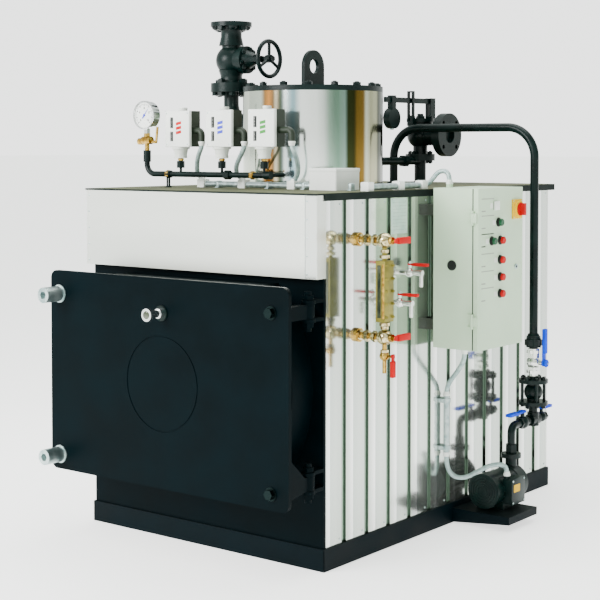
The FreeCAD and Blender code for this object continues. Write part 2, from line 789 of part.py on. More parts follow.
def safety_valve_body():
    x, y, z = safety_x, safety_y, safety_outlet_z
    pieces = [rod(62, (x, y, safety_inlet_z), Z, 12),
              rod(30, (x, y, safety_inlet_z), Z, z - safety_inlet_z),
              Part.makeSphere(56, V(x, y, z)),
              rod(52, (x, y, z), Z, 56),
              rod(58, (x, y, z + 56), Z, 14),
              rod(44, (x, y, z), X, safety_outlet_reach - 20),
              rod(safety_flange_radius, (x + safety_outlet_reach - 36, y, z), X, 18)]
    top = z + 70
    pieces.append(block(x - 14, x - 8, y + 60, y + 96, top - 20, safety_lever_z + 14))
    pieces.append(block(x + 8, x + 14, y + 60, y + 96, top - 20, safety_lever_z + 14))
    pieces.append(block(x - 14, x + 14, y + 40, y + 96, top - 32, top - 12))
    pieces.append(rod(13, (x, y, top), Z, 20))
    pieces.append(block(x - 14, x - 8, y - 80, y - 64, top - 20, safety_lever_z + 34))
    pieces.append(block(x + 8, x + 14, y - 80, y - 64, top - 20, safety_lever_z + 34))
    pieces.append(block(x - 14, x + 14, y - 80, y - 40, top - 32, top - 12))
    pieces.append(block(x - 14, x + 14, y - 80, y - 64, safety_lever_z + 34, safety_lever_z + 40))
    pieces.append(rod(5, (x - 14, safety_fulcrum_y, safety_lever_z), X, 28))
    return joined(pieces)


def safety_outlet_flange():
    x, y, z = safety_x + safety_outlet_reach - 18, safety_y, safety_outlet_z
    ring = rod(safety_flange_radius, (x, y, z), X, 18)
    ring = ring.cut(rod(safety_bore_radius, (x - 1, y, z), X, 20))
    return drilled(ring, (x + 18, y, z), X, safety_bolt_circle, 18)


def safety_lever():
    x, z = safety_x, safety_lever_z
    bar = block(x - 6, x + 6, safety_lever_front, safety_fulcrum_y + 12, z - 11, z + 11)
    bar = bar.cut(rod(5 + pin_gap, (x - 10, safety_fulcrum_y, z), X, 20))
    weight_z = z - 76
    pieces = [bar, block(x - 12, x + 12, safety_weight_y - 14, safety_weight_y + 14, weight_z, z + 18),
              rod(safety_weight_radius, (x - 15, safety_weight_y, weight_z), X, 30)]
    return joined(pieces)


# ---------------------------------------------------------------- feed water line and pump
def feed_pipe():
    points = [(feed_inlet_x, feed_y, deck_height), (feed_inlet_x, feed_y, feed_top_z),
              (feed_x, feed_y, feed_top_z), (feed_x, feed_y, feed_union_z - 24)]
    pipe = bent_tube(points, feed_pipe_radius, feed_bend_radius)
    union = hexagon(56, (feed_x, feed_y, feed_union_z - 18), Z, 36)
    foot = rod(28, (feed_inlet_x, feed_y, deck_height), Z, 8)
    return joined([pipe, union, foot])


def feed_ball_valve():
    x, y, z = feed_x, feed_y, feed_valve_z
    top = feed_union_z - 24
    bottom = check_valve_z + check_flange_gap / 2
    pieces = [hexagon(44, (x, y, z + 18), Z, top - z - 18), hexagon(44, (x, y, z - 40), Z, 22),
              Part.makeSphere(27, V(x, y, z)), rod(feed_pipe_radius, (x, y, bottom), Z, z - 40 - bottom),
              rod(9, (x + 20, y, z), X, 22)]
    return joined(pieces)


def feed_valve_lever():
    x, y, z = feed_x + 42, feed_y, feed_valve_z
    pieces = [rod(13, (x, y, z), X, 8), block(x, x + 6, y - 8, y + 12, z, z + 130),
              rod(4, (x + 8, y, z), X, 6)]
    return joined(pieces)


def check_valve():
    x, y, z = feed_x, feed_y, check_valve_z
    half = check_flange_gap / 2
    pieces = [rod(check_flange_radius, (x, y, z + half - 26), Z, 14),
              rod(check_flange_radius, (x, y, z - half + 12), Z, 14),
              rod(24, (x, y, z - half), Z, 2 * half), Part.makeSphere(36, V(x, y, z))]
    for i in range(4):
        angle = math.pi / 4 + i * math.pi / 2
        pieces.append(rod(6, (x + check_bolt_circle * math.cos(angle), y + check_bolt_circle * math.sin(angle),
                              z - half + 4), Z, 2 * half - 8))
    return joined(pieces)


def feed_tee():
    """Tee under the check valve, isolating valve and elbow down to the pump, drain valve to the rear."""
    x, y, z = feed_x, feed_y, tee_z
    top = check_valve_z - check_flange_gap / 2
    elbow = bent_tube([(x, y, z), (x, pump_y, z), (x, pump_y, pump_flange_z + 16)], 15, 30)
    pieces = [rod(feed_pipe_radius, (x, y, z), Z, top - z), rod(23, (x, y, z - 24), Z, 52),
              rod(23, (x, y - 30, z), Y, 60), elbow, Part.makeSphere(25, V(x, y - 85, z)),
              hexagon(38, (x, y - 60, z), -Y, 16), hexagon(38, (x, y - 96, z), -Y, 16),
              rod(8, (x, y - 85, z + 18), Z, 20), hexagon(40, (x, pump_y, pump_flange_z + 16), Z, 34),
              rod(12, (x, y + 28, z), Y, 22), Part.makeSphere(20, V(x, y + 66, z)),
              hexagon(30, (x, y + 80, z), Y, 16), rod(7, (x, y + 66, z + 14), Z, 18)]
    return joined(pieces)


def branch_lever():
    x, y, z = feed_x, feed_y - 85, tee_z + 38
    pieces = [rod(12, (x, y, z), Z, 6), block(x - 9, x + 9, y - 108, y, z, z + 5)]
    return joined(pieces)


def drain_lever():
    x, y, z = feed_x, feed_y + 66, tee_z + 32
    pieces = [rod(10, (x, y, z), Z, 6), block(x - 7, x + 7, y, y + 70, z, z + 5)]
    return joined(pieces)


def pump_head():
    x, y, z = feed_x, pump_y, motor_axis_z
    pieces = [rod(64, (x, motor_y1, z), Y, 58), rod(40, (x, motor_y1 + 58, z), Y, 14),
              rod(22, (x, y, z), Z, pump_flange_z - z), rod(38, (x, y, pump_flange_z), Z, 16),
              rod(20, (x, motor_y1 + 72, z), Y, 26)]
    return joined(pieces).cut(rod(feed_inlet_bore, (x, motor_y1 + 74, z), Y, 26))


def pump_motor():
    x, z = feed_x, motor_axis_z
    barrel_body = rod(motor_radius, (x, motor_y0 + 40, z), Y, motor_y1 - motor_y0 - 40)
    cover = rod(motor_radius + 3, (x, motor_y0, z), Y, 40)
    terminal = block(x + 54, x + 92, motor_y0 + 50, motor_y0 + 143, z - 47, z + 46)
    gland = rod(12, (x + 62, motor_y0 + 67, z + 46), Z, 10)
    foot = block(x - 56, x + 56, motor_y0 + 50, motor_y0 + 143, tray_top, z - 40)
    return joined([barrel_body, cover, terminal, gland, foot])


def pump_tray():
    """Folded bracket off the base frame; its outer end stands clear of the floor."""
    x0 = side_x + base_proud
    x1 = side_x + tray_reach
    top = block(x0, x1, tray_y0, tray_y1, tray_top - 4, tray_top)
    lip = block(x1 - 4, x1, tray_y0, tray_y1, tray_top - tray_lip, tray_top - 4)
    sides = []
    for y in (tray_y0, tray_y1 - 4):
        outline = [V(x0, y, tray_top - 4), V(x0, y, 2), V(x1 - 4, y, tray_top - tray_lip),
                   V(x1 - 4, y, tray_top - 4), V(x0, y, tray_top - 4)]
        sides.append(Part.Face(Part.makePolygon(outline)).extrude(V(0, 4, 0)))
    return joined([top, lip] + sides)


# ---------------------------------------------------------------- control cabinet
def control_cabinet():
    x1 = cabinet_x1 - cabinet_door_thickness - cabinet_door_gap
    box = block(cabinet_x0, x1, cabinet_y0, cabinet_y1, cabinet_z0, cabinet_z1)
    upright = [e for e in box.Edges if abs(e.tangentAt(e.FirstParameter).z) > 0.9]
    box = box.makeFillet(4, upright)
    inside = block(cabinet_x0 + 3, x1 + 1, cabinet_y0 + 3, cabinet_y1 - 3, cabinet_z0 + 3, cabinet_z1 - 3)
    rails = [block(side_x, cabinet_x0, cabinet_y0 + 20, cabinet_y1 - 20, z, z + 40)
             for z in (cabinet_z0 + 60, cabinet_z1 - 100)]
    bottom = (cabinet_x0 + cabinet_bottom_gland[0], cabinet_y0 + cabinet_bottom_gland[1])
    top = (cabinet_x0 + cabinet_top_gland[0], cabinet_y0 + cabinet_top_gland[1])
    glands = [rod(12, bottom + (cabinet_z0 - cabinet_bottom_gland_length,), Z, cabinet_bottom_gland_length),
              rod(12, top + (cabinet_z1,), Z, cabinet_top_gland_length)]
    return joined([box.cut(inside)] + rails + glands + [fixed_hinge(z) for z in cabinet_hinge_z])


def hinge_line():
    """Axis of the cabinet door in plan."""
    return cabinet_x1 - cabinet_door_thickness, cabinet_y0 - cabinet_hinge_out


def fixed_hinge(z):
    """Pin between two tabs on the side of the cabinet."""
    x, y = hinge_line()
    half = cabinet_knuckle_length / 2 + hinge_side_gap
    pieces = [rod(cabinet_pin_radius, (x, y, z - half - cabinet_hinge_tab), Z,
                  2 * (half + cabinet_hinge_tab))]
    for z0 in (z - half - cabinet_hinge_tab, z + half):
        pieces.append(rod(cabinet_knuckle_radius, (x, y, z0), Z, cabinet_hinge_tab))
        pieces.append(block(x - 3 * cabinet_knuckle_radius, x - cabinet_door_gap, y - cabinet_pin_radius,
                            cabinet_y0 + 2, z0, z0 + cabinet_hinge_tab))
    return joined(pieces)


def moving_hinge(z):
    """Knuckle and its leaf on the edge of the door."""
    x, y = hinge_line()
    z0 = z - cabinet_knuckle_length / 2
    knuckle = rod(cabinet_knuckle_radius, (x, y, z0), Z, cabinet_knuckle_length)
    leaf = block(x + 2 * cabinet_door_gap, cabinet_x1 - 4, y - cabinet_pin_radius, cabinet_y0 + 2, z0,
                 z0 + cabinet_knuckle_length)
    bore = rod(cabinet_pin_radius + pin_gap, (x, y, z0 - 1), Z, cabinet_knuckle_length + 2)
    return joined([knuckle, leaf]).cut(bore)


def cabinet_door():
    x0 = cabinet_x1 - cabinet_door_thickness
    door = block(x0, cabinet_x1, cabinet_y0, cabinet_y1, cabinet_z0, cabinet_z1)
    upright = [e for e in door.Edges if abs(e.tangentAt(e.FirstParameter).z) > 0.9]
    return joined([door.makeFillet(4, upright)] + [moving_hinge(z) for z in cabinet_hinge_z])


def cabinet_controls():
    """Lamp, switch and push buttons on the door face."""
    x = cabinet_x1
    pieces = [block(x, x + 8, cabinet_y0 + 105, cabinet_y0 + 135, cabinet_z1 - 78, cabinet_z1 - 48)]
    for row, columns in ((123, (139,)), (188, (92, 152)), (258, (152,)), (320, (152,)), (380, (152,))):
        for column in columns:
            place = (x, cabinet_y0 + column, cabinet_z1 - row)
            pieces.append(joined([rod(14, place, X, 5), rod(10, place, X, 16)]))
    return pieces


def isolator_knob():
    y, z = isolator_place()
    x = cabinet_x1 + isolator_plate_thickness + seat_gap
    return joined([rod(24, (x, y, z), X, 16), block(x + 16, x + 34, y - 7, y + 7, z - 22, z + 22)])


def isolator_place():
    return cabinet_y1 - 48.0, cabinet_z1 - 80.0


def isolator_plate():
    y, z = isolator_place()
    return block(cabinet_x1, cabinet_x1 + isolator_plate_thickness, y - 33, y + 33, z - 33, z + 33)


# ---------------------------------------------------------------- level gauge and try cocks
def level_gauge():
    x, y = level_x, level_y
    body = block(x - 17, x + 17, y - 27, y + 27, level_body_bottom, level_body_top)
    slot = block(x + 9, x + 18, y - 8, y + 8, level_body_bottom + 16, level_body_top - 16)
    tubes = [rod(level_pipe_radius, (x, y, level_body_top), Z, level_top_z - 24 - level_body_top),
             rod(level_pipe_radius, (x, y, level_bottom_z + 24), Z, level_body_bottom - level_bottom_z - 24)]
    return joined([body.cut(slot)] + tubes)


def level_cock(z):
    x, y = level_x, level_y
    return joined([rod(24, (side_x, y, z), X, 12), rod(11, (side_x, y, z), X, x - side_x),
                   hexagon(30, (side_x + 30, y, z), X, 20), Part.makeSphere(24, V(x, y, z)),
                   rod(13, (x, y, z), X, 34), rod(5, (x + 34, y, z), X, 10)])


def level_gauge_cocks():
    x, y = level_x, level_y
    drain_z = level_bottom_z - 62
    drain = joined([rod(8, (x, y, drain_z), Z, 40), Part.makeSphere(17, V(x, y, drain_z)),
                    rod(7, (x, y, drain_z - 58), Z, 50), rod(5, (x + 10, y, drain_z), X, 22)])
    return joined([level_cock(level_bottom_z), drain]), level_cock(level_top_z)


def level_lever(z):
    x, y = level_x + 44, level_y
    return joined([rod(9, (x, y, z), X, 6), block(x, x + 5, y, y + 74, z - 7, z + 9)])


def level_drain_lever():
    x, y, z = level_x + 32, level_y, level_bottom_z - 62
    return joined([rod(8, (x, y, z), X, 6), block(x, x + 5, y - 7, y + 7, z - 66, z + 8)])


def try_cock(place):
    y, z = place
    x1 = side_x + try_reach
    return joined([rod(22, (side_x, y, z), X, 10), rod(9, (side_x, y, z), X, try_reach),
                   Part.makeSphere(17, V(side_x + 58, y, z)), rod(6, (side_x + 58, y, z), Z, 26),
                   rod(10, (x1 - 16, y, z), X, 22), rod(7, (x1, y, z - 48), Z, 48)])


def try_lever(place):
    y, z = place
    x = side_x + 58
    return joined([rod(8, (x, y, z + 26), Z, 6), block(x, x + 72, y - 7, y + 7, z + 26, z + 31)])


# ---------------------------------------------------------------- all nodes
nodes = {
    "base_frame": base_frame(),
    "insulated_body": insulated_body(),
    "front_plate": front_plate(),
    "header_box": header_box(),
    "deck_plate": deck_plate(),
    "cladding_right": cladding(1),
    "cladding_left": cladding(-1),
    "rear_panel": rear_panel(),
    "smokebox": joined([smokebox(), flue_spigot()]),
    "front_ring": front_ring(),
    "front_hinges": [hinge_fixed(hinge_upper_z), hinge_fixed(hinge_lower_z)],
    "front_door": front_door(),
    "door_liner": door_liner(),
    "door_hinge_arms": [hinge_arm_upper(), hinge_arm_lower()],
    "door_bolts": closing_bolts(),
    "door_sight_glass": sight_glass(),
    "steam_dome": steam_dome(),
    "dome_cover": joined([dome_cover(), lifting_lug()]),
    "steam_outlet": steam_outlet(),
    "stop_valve_body": stop_valve_body(),
    "stop_valve_bonnet": stop_valve_bonnet(),
    "stop_valve_handwheel": handwheel(),
    "gauge_manifold": gauge_manifold(),
    "gauge_cock": gauge_cock(),
    "pressure_gauge": pressure_gauge(),
    "pressure_switch_left": pressure_switch(switch_x[0], switch_elbow_reach[0]),
    "pressure_switch_middle": pressure_switch(switch_x[1], switch_elbow_reach[1]),
    "pressure_switch_right": pressure_switch(switch_x[2], switch_elbow_reach[2]),
    "junction_boxes": junction_boxes(),
    "conduits": deck_conduits() + [side_conduit()],
    "safety_valve_body": [safety_riser(), safety_valve_body(), safety_outlet_flange()],
    "safety_lever": safety_lever(),
    "feed_pipe": feed_pipe(),
    "feed_ball_valve": feed_ball_valve(),
    "feed_valve_lever": feed_valve_lever(),
    "check_valve": check_valve(),
    "feed_tee": feed_tee(),
    "branch_lever": branch_lever(),
    "drain_lever": drain_lever(),
    "pump_head": pump_head(),
    "pump_motor": pump_motor(),
    "pump_tray": pump_tray(),
    "control_cabinet": control_cabinet(),
    "cabinet_door": cabinet_door(),
    "cabinet_controls": cabinet_controls() + [isolator_plate()],
    "isolator_knob": isolator_knob(),
    "level_gauge": level_gauge(),
    "level_cocks": list(level_gauge_cocks()),
    "level_lever_top": level_lever(level_top_z),
    "level_lever_bottom": level_lever(level_bottom_z),
    "level_drain_lever": level_drain_lever(),
    "try_cocks": [try_cock(place) for place in try_places],
    "try_lever_upper": try_lever(try_places[0]),
    "try_lever_lower": try_lever(try_places[1]),
}

nodes.update({name: hose(name) for name in hose_routes})
for name, shape in nodes.items():
    save(name, shape)
print(len(nodes), "nodes")
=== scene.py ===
import math

import bpy
from mathutils import Matrix, Vector


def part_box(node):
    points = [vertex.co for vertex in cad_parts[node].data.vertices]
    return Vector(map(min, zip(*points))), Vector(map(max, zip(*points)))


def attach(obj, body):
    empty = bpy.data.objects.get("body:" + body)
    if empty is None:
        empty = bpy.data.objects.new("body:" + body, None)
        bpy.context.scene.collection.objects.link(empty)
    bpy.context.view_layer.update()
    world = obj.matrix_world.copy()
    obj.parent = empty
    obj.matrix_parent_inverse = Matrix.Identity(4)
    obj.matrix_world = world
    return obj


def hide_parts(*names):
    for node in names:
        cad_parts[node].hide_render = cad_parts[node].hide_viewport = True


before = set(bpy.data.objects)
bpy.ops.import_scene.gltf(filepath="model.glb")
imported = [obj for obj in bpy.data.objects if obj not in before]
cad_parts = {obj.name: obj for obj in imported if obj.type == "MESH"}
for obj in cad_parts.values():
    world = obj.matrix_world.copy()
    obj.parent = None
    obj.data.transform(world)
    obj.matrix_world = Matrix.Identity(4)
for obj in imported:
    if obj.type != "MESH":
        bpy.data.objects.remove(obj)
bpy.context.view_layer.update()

# Looks of the packaged steam boiler.  Places and sizes below are millimetres in the part's own frame:
# +X the side with the control cabinet, -Y the furnace door, +Z up, zero on the floor under the middle.
MM = 0.001
UP, DOWN = (0, 0, 1), (0, 0, -1)
RIGHT, LEFT = (1, 0, 0), (-1, 0, 0)
FRONT, BACK = (0, -1, 0), (0, 1, 0)


def node_box(node):
    """Lowest and highest corner of a construction node, in millimetres."""
    low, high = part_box(node)
    return Vector(low) / MM, Vector(high) / MM


HALF_WIDTH = node_box("header_box")[1].x
FRONT_FACE = node_box("front_plate")[1].y - 12
REAR_FACE = node_box("rear_panel")[1].y
DOME_LOW, DOME_HIGH = node_box("steam_dome")
DOME_CENTRE = (DOME_LOW + DOME_HIGH) / 2
COVER_TOP = DOME_HIGH.z + 20
CABINET_X = node_box("cabinet_door")[1].x


# ------------------------------------------------------------------ shader nodes
def add(tree, kind, operation=None, second=None, **values):
    """One shader node with its fixed inputs: _ in a label stands for a space."""
    node = tree.nodes.new("ShaderNode" + kind)
    if operation:
        node.operation = operation
    if second is not None:
        node.inputs[1].default_value = second
    for label, value in values.items():
        node.inputs[label.replace("_", " ")].default_value = value
    return node


def wire(tree, *runs):
    """Links, each given as (node, its output, next node, its input)."""
    for source, leaving, target, entering in runs:
        tree.links.new(source.outputs[leaving], target.inputs[entering])


def colour_mix(tree, second=None):
    mix = tree.nodes.new("ShaderNodeMix")
    mix.data_type = "RGBA"
    if second:
        mix.inputs["B"].default_value = second
    return mix


def banded(tree, bands):
    """Colour ramp through (place, tone) bands."""
    ramp = add(tree, "ValToRGB")
    elements = ramp.color_ramp.elements
    for stop, value in bands:
        elements.new(stop).color = tone(*value)
    elements.remove(elements[0])
    return ramp


def tone(red, green, blue):
    """Colour given as the eye reads it, 0 to 255, turned to the linear values that shaders use."""
    def linear(value):
        value /= 255.0
        return value / 12.92 if value <= 0.04045 else ((value + 0.055) / 1.055) ** 2.4
    return (linear(red), linear(green), linear(blue), 1.0)


# ------------------------------------------------------------------ camera, floor and light
WORLD_STRENGTH = 1.7
BACKDROP = (1.6, 1.62, 1.6, 1.0)

# Angle share round the horizon (0 and 1 look to -X, 0.25 to -Y, 0.5 to +X, 0.75 to +Y) and its tone.
WORLD_BANDS = ((0.0, (214, 220, 216)), (0.12, (242, 245, 242)), (0.22, (255, 255, 252)),
               (0.27, (196, 206, 202)), (0.30, (252, 254, 250)), (0.37, (222, 228, 222)),
               (0.42, (152, 162, 152)), (0.455, (92, 112, 98)), (0.475, (170, 178, 170)),
               (0.53, (138, 148, 140)), (0.60, (166, 174, 166)), (0.625, (208, 214, 208)),
               (0.66, (186, 196, 186)), (0.68, (226, 232, 226)), (0.80, (226, 230, 228)),
               (0.90, (198, 206, 202)), (1.0, (214, 220, 216)))


def studio_camera():
    data = bpy.data.cameras.new("studio_camera")
    data.lens = 85.0
    data.sensor_width = 36.0
    data.shift_y = -0.171
    camera = bpy.data.objects.new("studio_camera", data)
    camera.location = (3.315, -4.472, 1.399)
    camera.rotation_euler = (math.radians(88.0), 0.0, math.radians(37.87))
    bpy.context.collection.objects.link(camera)
    bpy.context.scene.camera = camera


def studio_floor(paper):
    bpy.ops.object.select_all(action="DESELECT")
    bpy.ops.mesh.primitive_plane_add(size=400.0, location=(0, 0, -0.0005))
    floor = bpy.context.object
    floor.name = "studio_floor"
    floor.data.materials.append(paper)
    shader = paper.node_tree.nodes["Principled BSDF"]
    shader.inputs["Emission Color"].default_value = (1.0, 1.0, 0.99, 1.0)
    shader.inputs["Emission Strength"].default_value = 1.4


def soft_light(name, place, target, size, power):
    data = bpy.data.lights.new(name, "AREA")
    data.shape = "RECTANGLE"
    data.size, data.size_y = size
    data.energy = power
    light = bpy.data.objects.new(name, data)
    light.location = place
    light.rotation_euler = (Vector(target) - Vector(place)).to_track_quat("-Z", "Y").to_euler()
    bpy.context.collection.objects.link(light)


def studio_world():
    """Even pale surroundings with soft upright bands, which the bright sheets mirror."""
    world = bpy.data.worlds.new("studio_world")
    bpy.context.scene.world = world
    world.use_nodes = True
    tree = world.node_tree
    tree.nodes.clear()
    split, angle = add(tree, "SeparateXYZ"), add(tree, "Math", "ARCTAN2")
    share = add(tree, "MapRange", From_Min=-math.pi, From_Max=math.pi)
    bands, mix = banded(tree, WORLD_BANDS), colour_mix(tree, BACKDROP)
    background = add(tree, "Background", Strength=WORLD_STRENGTH)
    wire(tree, (add(tree, "TexCoord"), "Generated", split, "Vector"), (split, "Y", angle, 0),
         (split, "X", angle, 1), (angle, "Value", share, "Value"), (share, "Result", bands, "Fac"),
         (add(tree, "LightPath"), "Is Camera Ray", mix, "Factor"), (bands, "Color", mix, "A"),
         (mix, "Result", background, "Color"),
         (background, "Background", add(tree, "OutputWorld"), "Surface"))


# ------------------------------------------------------------------ shader groups
COLOUR, NUMBER, ARROW = "NodeSocketColor", "NodeSocketFloat", "NodeSocketVector"
ALONG = [("Along X", NUMBER, 1.0), ("Along Y", NUMBER, 1.0), ("Along Z", NUMBER, 1.0)]
GREY = (0.5, 0.5, 0.5, 1)


def new_group(name, inputs, outputs):
    group = bpy.data.node_groups.new(name, "ShaderNodeTree")
    for label, kind, value in inputs:
        socket = group.interface.new_socket(name=label, in_out="INPUT", socket_type=kind)
        socket.default_value = value
    for label, kind in outputs:
        group.interface.new_socket(name=label, in_out="OUTPUT", socket_type=kind)
    return group, group.nodes.new("NodeGroupInput"), group.nodes.new("NodeGroupOutput")


def drawn_out_noise(group, given, detail):
    """Noise on the part's own coordinates, drawn out along the axes."""
    stretch, scaled = add(group, "CombineXYZ"), add(group, "VectorMath", "MULTIPLY")
    noise = add(group, "TexNoise", Detail=detail)
    wire(group, (given, "Along X", stretch, "X"), (given, "Along Y", stretch, "Y"),
         (given, "Along Z", stretch, "Z"), (add(group, "TexCoord"), "Object", scaled, 0),
         (stretch, "Vector", scaled, 1), (scaled, "Vector", noise, "Vector"),
         (given, "Scale", noise, "Scale"))
    return noise


def mottle_group():
    """Cloudy change between two colours, with its mask."""
    group, given, result = new_group(
        "paint_mottle", [("First", COLOUR, GREY), ("Second", COLOUR, GREY), ("Scale", NUMBER, 6.0)] + ALONG,
        [("Color", COLOUR), ("Mask", NUMBER)])
    noise, mix = drawn_out_noise(group, given, 4.0), colour_mix(group)
    spread = add(group, "MapRange", From_Min=0.34, From_Max=0.66)
    wire(group, (noise, "Fac", spread, "Value"), (spread, "Result", mix, "Factor"),
         (given, "First", mix, "A"), (given, "Second", mix, "B"), (mix, "Result", result, "Color"),
         (spread, "Result", result, "Mask"))
    return group


def grain_group():
    """Fine surface relief, stretched along an axis where the sheet was rolled."""
    group, given, result = new_group(
        "surface_grain", [("Scale", NUMBER, 200.0), ("Depth", NUMBER, 0.2)] + ALONG,
        [("Normal", ARROW), ("Mask", NUMBER)])
    noise, relief = drawn_out_noise(group, given, 3.0), add(group, "Bump", Distance=0.001)
    wire(group, (noise, "Fac", relief, "Height"), (given, "Depth", relief, "Strength"),
         (relief, "Normal", result, "Normal"), (noise, "Fac", result, "Mask"))
    return group


def dust_group():
    """Dust that settles on faces that look up, in patches."""
    group, given, result = new_group(
        "settled_dust", [("Color", COLOUR, GREY), ("Dust", COLOUR, (0.4, 0.4, 0.36, 1)),
                         ("Amount", NUMBER, 0.3)], [("Color", COLOUR), ("Mask", NUMBER)])
    split, upward = add(group, "SeparateXYZ"), add(group, "MapRange", From_Min=0.35, From_Max=1.0)
    noise = add(group, "TexNoise", Scale=9.0, Detail=5.0)
    patches, weight = add(group, "Math", "MULTIPLY"), add(group, "Math", "MULTIPLY")
    mix = colour_mix(group)
    wire(group, (add(group, "NewGeometry"), "Normal", split, "Vector"), (split, "Z", upward, "Value"),
         (add(group, "TexCoord"), "Object", noise, "Vector"), (noise, "Fac", patches, 0),
         (upward, "Result", patches, 1), (patches, "Value", weight, 0), (given, "Amount", weight, 1),
         (weight, "Value", mix, "Factor"), (given, "Color", mix, "A"), (given, "Dust", mix, "B"),
         (mix, "Result", result, "Color"), (weight, "Value", result, "Mask"))
    return group


def place_group(tree, group, **values):
    node = tree.nodes.new("ShaderNodeGroup")
    node.node_tree = group
    for label, value in values.items():
        node.inputs[label.replace("_", " ")].default_value = value
    return node


# ------------------------------------------------------------------ materials
def new_material(name):
    material = bpy.data.materials.new(name)
    material.use_nodes = True
    return material, material.node_tree, material.node_tree.nodes["Principled BSDF"]


def coated(name, first, second, metallic, rough, grain=(300.0, 0.1), stretch=(1, 1, 1), scale=6.0,
           dust=0.0, coat=0.0, smooth_to=None, shine=0.5):
    """General finish: mottled colour, roughness that follows the mottle, relief and settled dust."""
    material, tree, shader = new_material(name)
    shader.inputs["Metallic"].default_value = metallic
    shader.inputs["Specular IOR Level"].default_value = shine
    shader.inputs["Coat Weight"].default_value = coat
    shader.inputs["Coat Roughness"].default_value = 0.18
    along = dict(Along_X=stretch[0], Along_Y=stretch[1], Along_Z=stretch[2])
    mottle = place_group(tree, MOTTLE, First=tone(*first), Second=tone(*second), Scale=scale, **along)
    relief = place_group(tree, GRAIN, Scale=grain[0], Depth=grain[1], **along)
    spread = add(tree, "MapRange", To_Min=rough, To_Max=rough * 1.35 if smooth_to is None else smooth_to)
    last = mottle
    if dust > 0:
        last = place_group(tree, DUST, Dust=tone(150, 150, 136), Amount=dust)
        wire(tree, (mottle, "Color", last, "Color"))
    wire(tree, (mottle, "Mask", spread, "Value"), (spread, "Result", shader, "Roughness"),
         (relief, "Normal", shader, "Normal"), (last, "Color", shader, "Base Color"))
    return material


def turn_about_dome(tree, split):
    """Angle round the dome's middle."""
    angle = add(tree, "Math", "ARCTAN2")
    from_centre = add(tree, "Math", "SUBTRACT", second=DOME_CENTRE.y * MM)
    wire(tree, (split, "Y", from_centre, 0), (from_centre, "Value", angle, 0), (split, "X", angle, 1))
    return angle, "Value"


def bright_sheet(name, axis, bands, period, rough, offset):
    """Polished sheet whose upright bands follow one axis: bands are (share of period, tone), painted
    reflections and painted shade in the base colour.
    """
    material, tree, shader = new_material(name)
    shader.inputs["Metallic"].default_value = 0.93
    split = add(tree, "SeparateXYZ")
    shifted = add(tree, "Math", "ADD", second=offset)
    shared = add(tree, "Math", "DIVIDE", second=period)
    within, ramp = add(tree, "Math", "FRACT"), banded(tree, bands)
    source, output = turn_about_dome(tree, split) if axis == "ANGLE" else (split, axis)
    mottle = place_group(tree, MOTTLE, First=(0.72, 0.76, 0.72, 1), Second=(1.0, 1.0, 0.98, 1),
                         Scale=5.0, Along_Z=0.1)
    relief = place_group(tree, GRAIN, Scale=7.0, Depth=0.25, Along_Z=0.35)
    spread = add(tree, "MapRange", To_Min=rough, To_Max=rough * 2.2)
    blend = colour_mix(tree)
    blend.blend_type = "MULTIPLY"
    blend.inputs["Factor"].default_value = 0.5
    wire(tree, (add(tree, "TexCoord"), "Object", split, "Vector"), (source, output, shifted, 0),
         (shifted, "Value", shared, 0), (shared, "Value", within, 0), (within, "Value", ramp, "Fac"),
         (ramp, "Color", blend, "A"), (mottle, "Color", blend, "B"), (blend, "Result", shader, "Base Color"),
         (mottle, "Mask", spread, "Value"), (spread, "Result", shader, "Roughness"),
         (relief, "Normal", shader, "Normal"))
    return material


def lay_over(material, colour, axis, operation, limit, source="TexCoord", output="Object"):
    """Second colour where a coordinate, or the lie of the surface, is past a limit."""
    tree = material.node_tree
    shader = tree.nodes["Principled BSDF"]
    split, test = add(tree, "SeparateXYZ"), add(tree, "Math", operation, second=limit)
    mix = colour_mix(tree, tone(*colour))
    tree.links.new(shader.inputs["Base Color"].links[0].from_socket, mix.inputs["A"])
    wire(tree, (add(tree, source), output, split, "Vector"), (split, axis, test, 0),
         (test, "Value", mix, "Factor"), (mix, "Result", shader, "Base Color"))


MOTTLE, GRAIN, DUST = mottle_group(), grain_group(), dust_group()
# Across each fold of the cladding: the sheet's own tone, then painted shade at the fold's edges, painted
# reflections within it and a painted highlight at its lip.
CLADDING_TONE_AND_REFLECTIONS = ((0.0, (192, 200, 195)), (0.25, (202, 208, 202)), (0.49, (194, 201, 195)),
                  (0.508, (74, 92, 80)), (0.53, (118, 140, 124)), (0.56, (160, 180, 164)),
                  (0.60, (132, 154, 138)), (0.64, (172, 192, 176)), (0.67, (100, 122, 108)),
                  (0.69, (66, 82, 72)), (0.702, (230, 234, 226)), (0.73, (198, 204, 198)),
                  (1.0, (192, 200, 195)))
